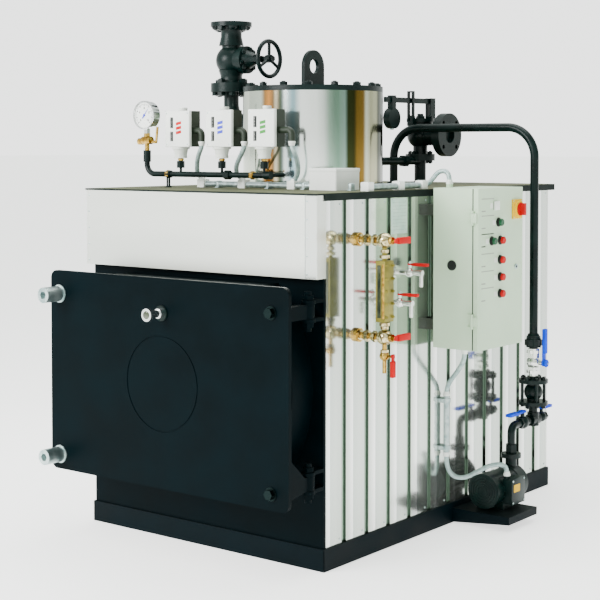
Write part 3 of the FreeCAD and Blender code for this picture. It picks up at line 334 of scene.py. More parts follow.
# Round the dome: its plain bright sheet with painted reflections, upright stripes of dark green, orange,
# ochre and near-black at fixed angles.
DOME_PAINTED_REFLECTIONS = ((0.0, (214, 222, 214)), (0.07, (230, 236, 228)), (0.10, (70, 90, 66)),
              (0.125, (206, 212, 196)), (0.226, (210, 218, 204)), (0.237, (160, 120, 70)),
              (0.25, (222, 150, 76)), (0.262, (128, 104, 70)), (0.268, (214, 200, 172)),
              (0.277, (92, 94, 76)), (0.284, (64, 84, 76)), (0.291, (228, 236, 236)),
              (0.31, (160, 196, 208)), (0.325, (238, 244, 242)), (0.36, (246, 249, 246)),
              (0.378, (234, 240, 236)), (0.39, (170, 196, 180)), (0.41, (124, 158, 138)),
              (0.426, (146, 172, 162)), (0.433, (56, 64, 34)), (0.451, (54, 56, 26)),
              (0.457, (124, 96, 38)), (0.477, (134, 104, 44)), (0.486, (206, 208, 188)),
              (0.50, (180, 176, 148)), (0.527, (170, 168, 138)), (0.536, (58, 62, 44)),
              (0.576, (52, 58, 46)), (0.66, (222, 228, 220)), (1.0, (214, 222, 214)))
FOLD = 131.4
FIRST_FOLD = 770.0 - 113.0
CLADDING = bright_sheet("mirror_sheet", "Y", CLADDING_TONE_AND_REFLECTIONS, FOLD * MM, 0.07, (FIRST_FOLD + 0.60 * FOLD) * MM)
DOME_SHEET = bright_sheet("dome_sheet", "ANGLE", DOME_PAINTED_REFLECTIONS, 2 * math.pi, 0.06, math.pi)
BLACK_PAINT = coated("black_paint", (0, 8, 11), (1, 13, 17), 0.0, 0.4, (420.0, 0.12), dust=0.02, shine=0.03)
CAST_BLACK = coated("cast_black", (1, 15, 14), (6, 27, 25), 0.0, 0.26, (240.0, 0.35), scale=14, dust=0.03,
                    shine=0.16)
HEADER_SHEET = coated("header_sheet", (214, 220, 212), (232, 235, 228), 0.85, 0.24, (60.0, 0.04),
                      stretch=(0.1, 1, 1), scale=3.0, smooth_to=0.34)
REAR_SHEET = coated("rear_sheet", (190, 196, 190), (214, 218, 212), 0.9, 0.28, (80.0, 0.05),
                    stretch=(1, 1, 0.1), scale=4.0)
CORNER_SHEET = coated("corner_sheet", (226, 232, 226), (244, 247, 242), 0.92, 0.14, (60.0, 0.03),
                      stretch=(1, 1, 0.1), scale=4.0)
DECK_PAINT_AND_RIM_SHADE = coated("deck_paint", (58, 63, 38), (88, 92, 60), 0.0, 0.62, (90.0, 0.5), scale=9.0, dust=0.14,
                    shine=0.2)
BASE_PAINT = coated("base_paint", (0, 10, 14), (2, 16, 21), 0.0, 0.42, (200.0, 0.25), dust=0.04, shine=0.05)
MOTOR_PAINT = coated("motor_paint", (1, 18, 17), (8, 32, 29), 0.0, 0.3, (200.0, 0.3), scale=14.0, dust=0.05,
                     shine=0.2)
CABINET_PAINT = coated("cabinet_paint", (180, 206, 174), (194, 217, 188), 0.0, 0.42, (900.0, 0.22), scale=3.0)
REFRACTORY = coated("refractory", (150, 140, 122), (186, 176, 156), 0.0, 0.86, (120.0, 0.9), scale=20.0)
ROPE = coated("seal_rope", (176, 170, 152), (204, 198, 180), 0.0, 0.92, (900.0, 1.0), scale=60.0)
SOOT = coated("soot", (20, 20, 19), (44, 42, 38), 0.0, 0.9, (90.0, 0.8), scale=14.0)
ZINC = coated("zinc", (150, 172, 172), (196, 210, 208), 0.9, 0.28, (500.0, 0.1), scale=30.0)
GALVANISED = coated("galvanised", (140, 160, 160), (186, 200, 198), 0.8, 0.36, (300.0, 0.1), scale=60.0)
HOSE_SKIN = coated("hose_skin", (136, 160, 160), (176, 196, 192), 0.35, 0.36, scale=60.0, dust=0.1)
NICKEL = coated("nickel", (206, 210, 204), (238, 240, 234), 0.95, 0.12, (300.0, 0.05), scale=30.0)
CHROME = coated("chrome_ring", (216, 220, 220), (244, 246, 246), 0.98, 0.06, (200.0, 0.02), scale=12.0)
PLATE_METAL = coated("plate_metal", (190, 214, 210), (214, 230, 224), 0.5, 0.3, (200.0, 0.05), scale=30.0)
BRASS = coated("brass", (140, 104, 34), (208, 172, 84), 0.94, 0.18, scale=70.0)
COCK_METAL = coated("cock_metal", (126, 104, 46), (238, 226, 180), 0.96, 0.13, (300.0, 0.08), scale=90.0)
OLIVE_BRASS = coated("gauge_brass", (104, 98, 28), (140, 130, 50), 0.45, 0.36, (300.0, 0.15), scale=24.0)
GAUGE_SLOT = coated("gauge_slot", (24, 34, 22), (52, 62, 34), 0.0, 0.12, (40.0, 0.1), scale=40.0, coat=0.6)
WHITE_PLASTIC = coated("white_plastic", (228, 232, 226), (240, 243, 238), 0.0, 0.4, (500.0, 0.12), scale=10.0,
                       dust=0.08)
BLACK_PLASTIC = coated("black_plastic", (12, 17, 15), (22, 28, 24), 0.0, 0.42, (600.0, 0.2), scale=20.0,
                       shine=0.25)
RED_VINYL = coated("red_vinyl", (178, 0, 5), (194, 0, 9), 0.0, 0.42, (200.0, 0.05), scale=20.0, shine=0.12)
BLUE_VINYL = coated("blue_vinyl", (0, 52, 206), (0, 70, 224), 0.0, 0.42, (200.0, 0.05), scale=20.0,
                    shine=0.12)
RED_CAP = coated("red_cap", (176, 0, 6), (192, 0, 10), 0.0, 0.36, (200.0, 0.05), scale=30.0, shine=0.15)
GREEN_CAP = coated("green_cap", (0, 66, 36), (0, 84, 46), 0.0, 0.26, (200.0, 0.05), scale=30.0, shine=0.3)
YELLOW_PLATE = coated("yellow_plate", (226, 178, 0), (234, 188, 0), 0.0, 0.45, (300.0, 0.05), scale=12.0,
                      shine=0.1)
DIAL_FACE = coated("dial_face", (232, 236, 232), (242, 244, 240), 0.0, 0.5, (300.0, 0.03), scale=8.0)
INK = coated("dial_ink", (16, 22, 30), (26, 32, 40), 0.0, 0.5, (300.0, 0.03), scale=8.0)
BLUE_MARK = coated("blue_mark", (20, 36, 190), (30, 50, 206), 0.0, 0.45, (300.0, 0.03), scale=30.0)
GREEN_MARK = coated("green_mark", (20, 126, 22), (36, 146, 30), 0.0, 0.45, (300.0, 0.03), scale=30.0)
STRIP_INK = coated("strip_ink", (132, 142, 130), (150, 158, 146), 0.0, 0.5, (300.0, 0.03), scale=30.0)
LABEL_STRIP = coated("label_strip", (214, 220, 210), (224, 230, 220), 0.0, 0.4, (300.0, 0.03), scale=30.0)
PAPER = coated("studio_paper", (248, 249, 248), (250, 250, 249), 0.0, 0.9, (50.0, 0.0), scale=1.0, shine=0.2)

# The switches are white below and above a dark middle.
SWITCH_SHELL = coated("switch_shell", (12, 20, 17), (12, 20, 17), 0.0, 0.4, (500.0, 0.15), shine=0.3)
for height, colour in ((1361, (226, 230, 222)), (1402.6, (30, 40, 28)), (1538, (228, 232, 226))):
    lay_over(SWITCH_SHELL, colour, "Z", "GREATER_THAN", height * MM)
CABINET_BODY_SHADED = CABINET_PAINT.copy()
CABINET_BODY_SHADED.name = "cabinet_paint_and_gap_shade"
# The cabinet body below X 572 mm, next to the casing, is dark olive: painted shade in the gap between cabinet
# and casing.
lay_over(CABINET_BODY_SHADED, (34, 42, 30), "X", "LESS_THAN", 572.0 * MM)
BOLT_ZINC = ZINC.copy()
BOLT_ZINC.name = "bolt_zinc"
lay_over(BOLT_ZINC, (8, 24, 24), "X", "GREATER_THAN", 200.0 * MM)
# The deck's side faces, whose normals point less than half upward, are near-black: painted shade along the
# rim, under the olive top.
lay_over(DECK_PAINT_AND_RIM_SHADE, (6, 20, 17), "Z", "LESS_THAN", 0.5, "NewGeometry", "Normal")

NODE_FINISHES = (
    (SWITCH_SHELL, "pressure_switch_left pressure_switch_middle pressure_switch_right"),
    (BASE_PAINT, "base_frame pump_tray"),
    (BLACK_PAINT, "front_plate smokebox front_ring front_hinges front_door door_hinge_arms"),
    (CLADDING, "cladding_right cladding_left"),
    (CAST_BLACK, "dome_cover steam_outlet stop_valve_body stop_valve_bonnet stop_valve_handwheel "
                 "gauge_manifold safety_valve_body safety_lever feed_pipe check_valve feed_tee"),
    (CHROME, "door_sight_glass pressure_gauge"),
    (NICKEL, "feed_ball_valve try_cocks"),
    (BLUE_VINYL, "feed_valve_lever branch_lever drain_lever"),
    (MOTOR_PAINT, "pump_head pump_motor"),
    (RED_VINYL, "level_lever_top level_lever_bottom level_drain_lever try_lever_upper try_lever_lower"),
    (BRASS, "gauge_cock level_cocks"),
    (SOOT, "insulated_body"), (HEADER_SHEET, "header_box"), (DECK_PAINT_AND_RIM_SHADE, "deck_plate"),
    (REAR_SHEET, "rear_panel"), (REFRACTORY, "door_liner"), (BOLT_ZINC, "door_bolts"),
    (DOME_SHEET, "steam_dome"), (WHITE_PLASTIC, "junction_boxes"), (GALVANISED, "conduits"),
    (CABINET_BODY_SHADED, "control_cabinet"), (CABINET_PAINT, "cabinet_door"), (RED_CAP, "isolator_knob"),
    (OLIVE_BRASS, "level_gauge"), (BLACK_PLASTIC, "cabinet_controls"))
for finish, node_names in NODE_FINISHES:
    for node_name in node_names.split():
        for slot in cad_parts[node_name].material_slots:
            slot.material = finish

studio_camera()
studio_floor(PAPER)
studio_world()
soft_light("key_panel", (-1.6, -5.2, 3.0), (0, -0.6, 0.9), (3.0, 2.2), 430.0)
soft_light("side_panel", (5.2, -1.6, 3.0), (0.3, 0, 0.8), (2.4, 2.0), 16.0)
soft_light("top_panel", (0.2, 0.4, 4.6), (0, 0, 1.0), (3.2, 3.2), 170.0)


# ------------------------------------------------------------------ making pieces
def clear():
    bpy.ops.object.select_all(action="DESELECT")


def take(piece):
    clear()
    piece.select_set(True)
    bpy.context.view_layer.objects.active = piece


def settle(piece):
    """The place, turn and size go into the mesh."""
    take(piece)
    bpy.ops.object.transform_apply(location=True, rotation=True, scale=True)


def open_up(piece, everything=True):
    take(piece)
    bpy.ops.object.mode_set(mode="EDIT")
    bpy.ops.mesh.select_mode(type="FACE")
    bpy.ops.mesh.select_all(action="SELECT" if everything else "DESELECT")


def close_up():
    bpy.ops.object.mode_set(mode="OBJECT")


def pick(piece, wanted):
    """In edit mode, only the faces that answer to wanted(face) stay selected."""
    bpy.ops.mesh.select_all(action="DESELECT")
    close_up()
    for face in piece.data.polygons:
        face.select = wanted(face)
    bpy.ops.object.mode_set(mode="EDIT")


def faces_to(direction):
    direction = Vector(direction)
    return lambda face: face.normal.dot(direction) > 0.9


def block(low, high, soften=1.0, segments=2):
    """Block between two corners, with its edges rounded over."""
    clear()
    low, high = Vector(low) * MM, Vector(high) * MM
    bpy.ops.mesh.primitive_cube_add(size=1.0, location=(low + high) / 2, scale=high - low)
    piece = bpy.context.object
    settle(piece)
    open_up(piece)
    bpy.ops.mesh.bevel(offset=soften * MM, segments=segments, affect="EDGES")
    close_up()
    return piece


def turned(base, axis, steps, sides=24, turn=0.0):
    """Turned part: a disc carried along its axis through (distance, radius) steps."""
    clear()
    base, axis = Vector(base) * MM, Vector(axis).normalized()
    (start, radius), rest = steps[0], steps[1:]
    attitude = axis.to_track_quat("Z", "Y").to_matrix() @ Matrix.Rotation(turn, 3, "Z")
    bpy.ops.mesh.primitive_circle_add(vertices=sides, radius=radius * MM, fill_type="NGON",
                                      location=base + axis * start * MM, rotation=attitude.to_euler())
    piece = bpy.context.object
    settle(piece)
    open_up(piece)
    for distance, wide in rest:
        bpy.ops.mesh.extrude_region_move(TRANSFORM_OT_translate={"value": axis * (distance - start) * MM})
        bpy.ops.transform.resize(value=(wide / radius,) * 3, center_override=base + axis * distance * MM)
        start, radius = distance, wide
    bpy.ops.mesh.select_all(action="SELECT")
    bpy.ops.mesh.normals_make_consistent(inside=False)
    close_up()
    return piece


def hexagon(base, axis, across, height, bore=None):
    """Hexagon nut or head with its corners turned off, and the end of its bolt where it has a bore."""
    corner = across / math.sqrt(3)
    steps = ((0, corner), (height - 1, corner), (height, corner * 0.86))
    if bore:
        steps += ((height, bore), (height + 2.5, bore), (height + 3.2, bore * 0.8))
    return turned(base, axis, steps, sides=6)


def washer(base, axis, radius, thick=1.6):
    return turned(base, axis, ((0, radius), (thick * 0.7, radius), (thick, radius - 0.5)), sides=20)


def pan_head(base, axis, radius, height):
    """Screw head: low dome with a cross recess pressed in its middle."""
    return turned(base, axis, ((0, radius), (height * 0.5, radius), (height * 0.85, radius * 0.8),
                                     (height, radius * 0.5), (height, radius * 0.24),
                                     (height * 0.6, radius * 0.2)), sides=12)


def joined(parts):
    clear()
    for part in parts:
        part.select_set(True)
    bpy.context.view_layer.objects.active = parts[0]
    if len(parts) > 1:
        bpy.ops.object.join()
    return parts[0]


def copies(model, places):
    """Own-mesh copies of a model made at zero, standing up: places are (point, axis, turn)."""
    made = []
    for point, axis, turn in places:
        copy = bpy.data.objects.new("copy", model.data.copy())
        attitude = Vector(axis).to_track_quat("Z", "Y").to_matrix().to_4x4()
        spot = Matrix.Translation(Vector(point) * MM)
        copy.data.transform(spot @ attitude @ Matrix.Rotation(turn, 4, "Z"))
        bpy.context.collection.objects.link(copy)
        made.append(copy)
    bpy.data.objects.remove(model)
    return made


def finish_piece(name, parts, finish, body="boiler", angle=35.0):
    """One piece of all its parts: material, smooth rounds and the body that it rides."""
    piece = joined(parts) if isinstance(parts, list) else parts
    piece.name = name
    piece.data.materials.clear()
    piece.data.materials.append(finish)
    take(piece)
    bpy.ops.object.shade_smooth_by_angle(angle=math.radians(angle))
    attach(piece, body)


def open_ends(ring):
    """A turned ring loses the flat faces that close it."""
    open_up(ring)
    pick(ring, lambda face: len(face.vertices) > 8)
    bpy.ops.mesh.delete(type="FACE")
    close_up()


def ring_places(centre, axis, radius, count, start=0.0, out=None):
    """Evenly spaced (point, axis, turn) round a circle square to the axis."""
    centre, axis = Vector(centre), Vector(axis)
    across = axis.orthogonal().normalized()
    places = []
    for number in range(count):
        angle = start + number * math.tau / count
        spoke = Matrix.Rotation(angle, 3, axis) @ across
        places.append((centre + spoke * radius, Vector(out or axis), angle))
    return places


# ------------------------------------------------------------------ hoses
HOSE_RADIUS = 9.0
HOSES = {
    "switch_hose_left": [(-209, -535, 1423), (-209, -535, 1403), (-225, -530, 1384), (-246, -517, 1360),
                         (-268, -497, 1334), (-281, -481, 1309), (-276, -473, 1292), (-265, -470, 1282)],
    "switch_hose_middle": [(-2, -535, 1423), (-2, -535, 1404), (-16, -530, 1384), (-45, -515, 1359),
                           (-75, -495, 1334), (-88, -480, 1311), (-82, -473, 1294), (-67, -470, 1282)],
    "switch_hose_right": [(217, -535, 1423), (217, -535, 1404), (224, -529, 1382), (223, -513, 1357),
                          (213, -494, 1332), (201, -480, 1310), (189, -473, 1294), (176, -470, 1282)],
    "cabinet_top_hose": [(510, -136, 1264), (510, -114, 1264), (522, -94, 1283), (541, -82, 1314),
                         (573, -79, 1316), (590, -84, 1295), (590, -84, 1268)],
    "cabinet_bottom_hose": [(645, -65, 668), (645, -65, 642), (632, -60, 614), (609, -53, 585),
                            (585, -48, 558), (564, -44, 532), (555, -43, 508), (555, -43, 487)],
    "pump_hose": [(555, -43, 278), (555, -43, 247), (559, -38, 214), (572, -27, 190), (594, -13, 181),
                  (619, 2, 187), (642, 22, 202), (663, 44, 217), (684, 67, 228), (703, 97, 228),
                  (712, 129, 212), (712, 129, 181)],
}
SWITCH_HOSES = list(HOSES)[:3]


def hose_line(route):
    """Points along the smooth line of a hose."""
    data = bpy.data.curves.new("hose_line", "CURVE")
    data.dimensions = "3D"
    data.resolution_u = 24
    spline = data.splines.new("NURBS")
    spline.points.add(len(route) - 1)
    for point, place in zip(spline.points, route):
        point.co = (*(Vector(place) * MM), 1.0)
    spline.order_u = 3
    spline.use_endpoint_u = True
    holder = bpy.data.objects.new("hose_line", data)
    bpy.context.collection.objects.link(holder)
    line = bpy.data.meshes.new_from_object(holder)
    points = [vertex.co.copy() for vertex in line.vertices]
    bpy.data.objects.remove(holder)
    bpy.data.meshes.remove(line)
    return points


def even_points(points, step):
    """The same line at even steps, so the ribs of the hose are all as wide."""
    lengths = [0.0]
    for first, second in zip(points, points[1:]):
        lengths.append(lengths[-1] + (second - first).length)
    count = max(4, round(lengths[-1] / step))
    result, index = [], 0
    for number in range(count + 1):
        along = lengths[-1] * number / count
        while index < len(points) - 2 and lengths[index + 1] < along:
            index += 1
        span = max(lengths[index + 1] - lengths[index], 1e-9)
        result.append(points[index].lerp(points[index + 1], (along - lengths[index]) / span))
    return result


def ribbed_hose(name, route):
    """Wound steel hose in its plastic skin: rings that follow the line, every second one lower."""
    points = even_points(hose_line(route), 2.4 * MM)
    sides = 14
    vertices, faces = [], []
    side = (points[1] - points[0]).orthogonal().normalized()
    for index, point in enumerate(points):
        ahead = points[min(index + 1, len(points) - 1)] - points[max(index - 1, 0)]
        ahead.normalize()
        side = (side - ahead * side.dot(ahead)).normalized()
        other = ahead.cross(side)
        radius = (HOSE_RADIUS if index % 2 else HOSE_RADIUS - 0.9) * MM
        for step in range(sides):
            turn = math.tau * step / sides
            vertices.append(point + (side * math.cos(turn) + other * math.sin(turn)) * radius)
    for ring in range(len(points) - 1):
        for step in range(sides):
            after = (step + 1) % sides
            faces.append((ring * sides + step, ring * sides + after,
                          (ring + 1) * sides + after, (ring + 1) * sides + step))
    faces.append(tuple(reversed(range(sides))))
    faces.append(tuple(range((len(points) - 1) * sides, len(points) * sides)))
    mesh = bpy.data.meshes.new(name)
    mesh.from_pydata(vertices, [], faces)
    piece = bpy.data.objects.new("hose", mesh)
    bpy.context.collection.objects.link(piece)
    finish_piece(name + "_ribbed", piece, HOSE_SKIN, angle=60)
    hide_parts(name)


for hose, route in HOSES.items():
    ribbed_hose(hose, route)


def hose_fittings():
    """White plastic nuts where each hose leaves and enters a housing."""
    model = turned((0, 0, 0), UP, ((0, 13.0), (7, 13.0), (8, 12.4), (8, 11.2), (15, 10.6),
                                               (16, 9.8)), sides=16)
    top, bottom, pump = list(HOSES)[3:]
    places = [(HOSES[name][0], DOWN, 0) for name in (*SWITCH_HOSES, bottom, pump)]
    places += [(HOSES[name][-1], UP, 0) for name in (top, bottom, pump)]
    places.append((HOSES[top][0], BACK, 0))
    finish_piece("hose_nuts", copies(model, places), WHITE_PLASTIC)
    model = turned((0, 0, 0), UP, ((0, 11.6), (5, 11.6), (6, 10.4)), sides=16)
    places = [(HOSES[name][-1], UP, 0) for name in SWITCH_HOSES]
    finish_piece("box_nuts", copies(model, places), WHITE_PLASTIC)


# ------------------------------------------------------------------ steam side
GAUGE = Vector((-490, -549.5, 1524))


def gauge_dial():
    dial = turned(GAUGE + Vector((0, 0.2, 0)), FRONT, ((0, 49.6), (0.8, 49.6), (1.0, 49.0)), 48)
    finish_piece("gauge_dial", dial, DIAL_FACE)
    ticks = []
    for number in range(41):
        angle = math.radians(225 - number * 270 / 40)
        inner, wide = (36, 1.1) if number % 5 == 0 else (40, 0.55)
        tick = block((inner, -0.35, -wide), (44, 0.35, wide), 0.15, 1)
        tick.data.transform(Matrix.Translation((GAUGE + Vector((0, -1.2, 0))) * MM)
                            @ Matrix.Rotation(-angle, 4, "Y"))
        ticks.append(tick)
    finish_piece("gauge_ticks", ticks, INK)
    numbers = []
    for number in range(0, 9, 2):
        angle = math.radians(225 - number * 270 / 8)
        bpy.ops.object.text_add()
        label = bpy.context.object
        label.data.body = str(number * 2)
        label.data.size = 11 * MM
        label.data.align_x = "CENTER"
        label.data.align_y = "CENTER"
        label.data.extrude = 0.25 * MM
        take(label)
        bpy.ops.object.convert(target="MESH")
        spot = GAUGE + Vector((27 * math.cos(angle), -1.4, 27 * math.sin(angle)))
        label.data.transform(Matrix.Translation(spot * MM) @ Matrix.Rotation(math.radians(90), 4, "X"))
        numbers.append(label)
    finish_piece("gauge_numbers", numbers, INK)


def gauge_pointer():
    """Tapered blade on a small hub."""
    blade = block((-15, -0.4, -2.6), (33, 0.4, 2.6), 0.3, 1)
    open_up(blade)
    pick(blade, lambda face: face.center.x > 32 * MM)
    bpy.ops.transform.resize(value=(1, 1, 0.16))
    close_up()
    hub = turned((0, 1, 0), FRONT, ((0, 5), (2, 5), (2.6, 4)), 20)
    piece = joined([blade, hub])
    piece.data.transform(Matrix.Translation((GAUGE + Vector((0, -2.0, 0))) * MM)
                         @ Matrix.Rotation(math.radians(-52), 4, "Y"))
    finish_piece("gauge_pointer", piece, BLUE_MARK)


def gauge_bezel():
    """Rolled ring that grips the window."""
    ring = turned(GAUGE + Vector((0, -2.6, 0)), FRONT,
                  ((0, 55.2), (2.2, 55.2), (3.4, 53.8), (3.4, 50.6), (2.4, 49.8), (0.6, 49.8)), 48)
    open_ends(ring)
    finish_piece("gauge_bezel", ring, CHROME)


SWITCHES = (-302, -97, 104)
SWITCH_LOW, SWITCH_HIGH = 1403, 1537


def switch_covers():
    covers, windows, screws = [], [], []
    for centre in SWITCHES:
        cover = block((centre - 61.6, -569, SWITCH_LOW - 0.6),
                      (centre + 61.6, -556, SWITCH_HIGH + 0.6), 2.4, 3)
        open_up(cover)
        pick(cover, faces_to(FRONT))
        bpy.ops.mesh.inset(thickness=3.4 * MM, depth=0.0)
        bpy.ops.mesh.inset(thickness=0.8 * MM, depth=-0.8 * MM)
        close_up()
        covers.append(cover)
        for low, high in ((1473, 1513), (1424, 1460)):
            window = block((centre - 35, -571.0, low), (centre - 20, -566, high), 0.8, 1)
            windows.append(window)
        for side in (-52, 52):
            for height in (SWITCH_LOW + 9, SWITCH_HIGH - 9):
                screws.append(((centre + side, -568, height), FRONT, side))
    finish_piece("switch_covers", covers, WHITE_PLASTIC)
    finish_piece("switch_windows", windows, BLACK_PLASTIC)
    model = pan_head((0, 0, 0), UP, 4.2, 2.0)
    finish_piece("switch_screws", copies(model, screws), ZINC)


def switch_scales():
    """Set-point scale in each window: fine marks."""
    marks = []
    for centre in SWITCHES:
        for low, high in ((1477, 1509), (1428, 1456)):
            for number in range(7):
                height = low + (high - low) * number / 6
                marks.append(block((centre - 33, -571.3, height - 0.5),
                                   (centre - 28, -570.0, height + 0.5), 0.1, 1))
    finish_piece("switch_scales", marks, DIAL_FACE)


def switch_marks():
    """Plain slanted bars of one colour on each cover."""
    finishes = (("left", RED_CAP), ("middle", BLUE_MARK), ("right", GREEN_MARK))
    for centre, (side, finish) in zip(SWITCHES, finishes):
        bars = []
        for number in range(3):
            bar = block((centre - 5, -570.6, 1449 + number * 17),
                        (centre + 21, -568.1, 1460 + number * 17), 0.3, 1)
            open_up(bar)
            pick(bar, lambda face: face.center.x > (centre + 18) * MM)
            bpy.ops.transform.translate(value=(0, 0, 5 * MM))
            close_up()
            bars.append(bar)
        finish_piece("switch_mark_" + side, bars, finish)


def switch_fittings():
    """Brass unions under the black couplings of the switches and along the pipe."""
    nuts = []
    for centre in SWITCHES:
        nuts.append(hexagon((centre - 13, -535, 1352), UP, 20, 8))
    for place in (-385, 30):
        nuts.append(hexagon((place, -535, 1300), RIGHT, 27, 14))
        nuts.append(washer((place + 14, -535, 1300), RIGHT, 13.6, 2))
    finish_piece("pipe_unions", nuts, BRASS)
    foot = turned((-385, -535, 1250), UP, ((0, 12), (2, 12), (2.4, 3.4), (44, 3.4)), 16)
    finish_piece("pipe_prop", foot, CAST_BLACK)


def stop_valve_fixings():
    centre_x, centre_y = -413, -128
    head = hexagon((0, 0, 0), UP, 29, 15, bore=9)
    places = []
    for height, axis in ((1659, UP), (1623, DOWN), (1885, DOWN)):
        places += ring_places((centre_x, centre_y, height), axis, 62.5, 4, math.radians(45))
    finish_piece("stop_valve_heads", copies(head, places), CAST_BLACK)
    head = hexagon((0, 0, 0), UP, 15, 8, bore=4)
    places = ring_places((-327, centre_y, 1750), RIGHT, 45, 6, math.radians(30))
    finish_piece("bonnet_nuts", copies(head, places), CAST_BLACK)
    necks = [turned((centre_x, centre_y, 1659), UP, ((0, 54), (4, 48), (12, 43), (30, 44), (52, 52))),
             turned((centre_x, centre_y, 1885), DOWN, ((0, 54), (4, 48), (14, 42), (40, 42),
                                                                     (76, 50)))]
    ribs = []
    for turn in range(4):
        angle = math.radians(45 + 90 * turn)
        along = Vector((math.cos(angle), math.sin(angle), 0))
        for height, axis in ((1885, DOWN),):
            spot = Vector((centre_x, centre_y, height)) + along * 60
            ribs.append(turned(spot, axis, ((0, 19), (8, 17), (14, 9)), 16))
    finish_piece("stop_valve_necks", necks + ribs, CAST_BLACK)


def dome_fixings():
    nut = hexagon((0, 0, 0), UP, 26, 12, bore=8)
    places = ring_places((DOME_CENTRE.x, DOME_CENTRE.y, COVER_TOP), UP, 247, 16, math.radians(11.25))
    finish_piece("dome_cover_nuts", copies(nut, places), CAST_BLACK)
    bead = []
    for side in (-1, 1):
        bead.append(block((side * 7.5 - 3.5, DOME_CENTRE.y - 64, COVER_TOP - 1),
                          (side * 7.5 + 3.5, DOME_CENTRE.y + 64, COVER_TOP + 4.5), 1.6, 2))
    finish_piece("lug_welds", bead, CAST_BLACK)
    # The foot band and the seam wear the dome's sheet, its painted reflection stripes with it.
    band = turned((DOME_CENTRE.x, DOME_CENTRE.y, 1250), UP,
                  ((0, 272), (14, 272), (15, 270.5), (15, 266)), 96)
    finish_piece("dome_foot_band", band, DOME_SHEET)
    seam = block((-12, DOME_CENTRE.y + 266, 1262), (12, DOME_CENTRE.y + 271.5, 1610), 1, 1)
    finish_piece("dome_seam", seam, DOME_SHEET)
    rivet = turned((0, 0, 0), UP, ((0, 4), (1, 3.8), (1.8, 2.6), (2.2, 1.0)), 12)
    places = [((0, DOME_CENTRE.y + 271.3, 1290 + 42 * number), BACK, 0) for number in range(8)]
    finish_piece("dome_seam_rivets", copies(rivet, places), ZINC)


SAFETY_VALVE = (47, 556)


def safety_valve_fixings():
    head = hexagon((0, 0, 0), UP, 24, 11, bore=8)
    x, y = SAFETY_VALVE
    places = ring_places((x + 111, y, 1453), RIGHT, 70, 4, math.radians(45), out=LEFT)
    finish_piece("safety_outlet_nuts", copies(head, places), CAST_BLACK)
    head = hexagon((0, 0, 0), UP, 19, 10, bore=6)
    places = ring_places((x, y, 1374), UP, 49, 4, math.radians(45))
    places += ring_places((x, y, 1346), DOWN, 49, 4, math.radians(45))
    places += ring_places((x, y, 1523), UP, 42, 6, math.radians(30))
    finish_piece("safety_valve_nuts", copies(head, places), CAST_BLACK)
    finish_piece("weight_screw", pan_head((x, y - 213, 1478.2), DOWN, 9, 5), ZINC, "safety_arm")


# ------------------------------------------------------------------ top of the deck
def deck_wiring():
    lid = block((319 - 61, -420 - 72, 1314), (319 + 61, -420 + 72, 1327), 2, 2)
    finish_piece("junction_lid", lid, WHITE_PLASTIC)
    screw = pan_head((0, 0, 0), UP, 4, 1.4)
    places = [((319 + 51 * east, -420 + 62 * north, 1326.6), UP, east)
              for east in (-1, 1) for north in (-1, 1)]
    finish_piece("junction_lid_screws", copies(screw, places), ZINC)
    boxes, screws = [], []
    for x, y in ((-260, -470), (-60, -470), (172, -470), (510, -488), (510, -297), (510, -147)):
        boxes.append(block((x - 17, y - 17, 1250), (x + 17, y + 17, 1281), 2, 2))
        screws += [((x + 11 * east, y + 11 * north, 1280.8), UP, 0) for east in (-1, 1) for north in (-1, 1)]
    finish_piece("conduit_boxes", boxes, WHITE_PLASTIC)
    screw = pan_head((0, 0, 0), UP, 2.6, 1.2)
    finish_piece("conduit_box_screws", copies(screw, screws), ZINC)
    saddles = []
    for x in (-180, 60, 225, 430):
        saddles.append(block((x - 8, -487, 1250), (x + 8, -453, 1254), 1, 1))
        saddles.append(block((x - 8, -482.5, 1250), (x + 8, -457.5, 1276.8), 5, 3))
    finish_piece("conduit_saddles", saddles, GALVANISED)


# ------------------------------------------------------------------ casing
def header_details():
    seam = block((HALF_WIDTH - 45, -811.2, 971), (HALF_WIDTH + 0.6, -806, 1243), 0.8, 1)
    finish_piece("header_corner", seam, CORNER_SHEET)
    line = block((HALF_WIDTH - 47, -811.5, 971), (HALF_WIDTH - 45.2, -808, 1243), 0.3, 1)
    finish_piece("header_seam", line, GALVANISED)
    rivet = turned((0, 0, 0), UP, ((0, 3.4), (0.8, 3.2), (1.4, 2.2), (1.7, 0.8)), 10)
    places = [((HALF_WIDTH - 38, -811.2, 985 + 60 * number), FRONT, 0) for number in range(5)]
    places += [((-HALF_WIDTH + 12, -810, 985 + 60 * number), FRONT, 0) for number in range(5)]
    finish_piece("header_rivets", copies(rivet, places), ZINC)


def casing_rivets():
    rivet = turned((0, 0, 0), UP, ((0, 3.6), (0.9, 3.4), (1.6, 2.4), (2.0, 0.8)), 10)
    places = []
    for number in range(12):
        y = -657 + 131.4 * (number - 0.5)
        for z in (92, 1212):
            for side in (RIGHT, LEFT):
                places.append(((HALF_WIDTH * side[0], max(-748, min(748, y + 40)), z), side, 0))
    finish_piece("cladding_rivets", copies(rivet, places), ZINC)
    rivet = turned((0, 0, 0), UP, ((0, 3.6), (0.9, 3.4), (1.6, 2.4), (2.0, 0.8)), 10)
    places = []
    for number in range(11):
        x = -515 + 103 * number
        places += [((x, REAR_FACE, z), BACK, 0) for z in (92, 1228)]
    for number in range(1, 11):
        places += [((x, REAR_FACE, 92 + 103 * number), BACK, 0) for x in (-515, 515)]
    finish_piece("rear_rivets", copies(rivet, places), ZINC)


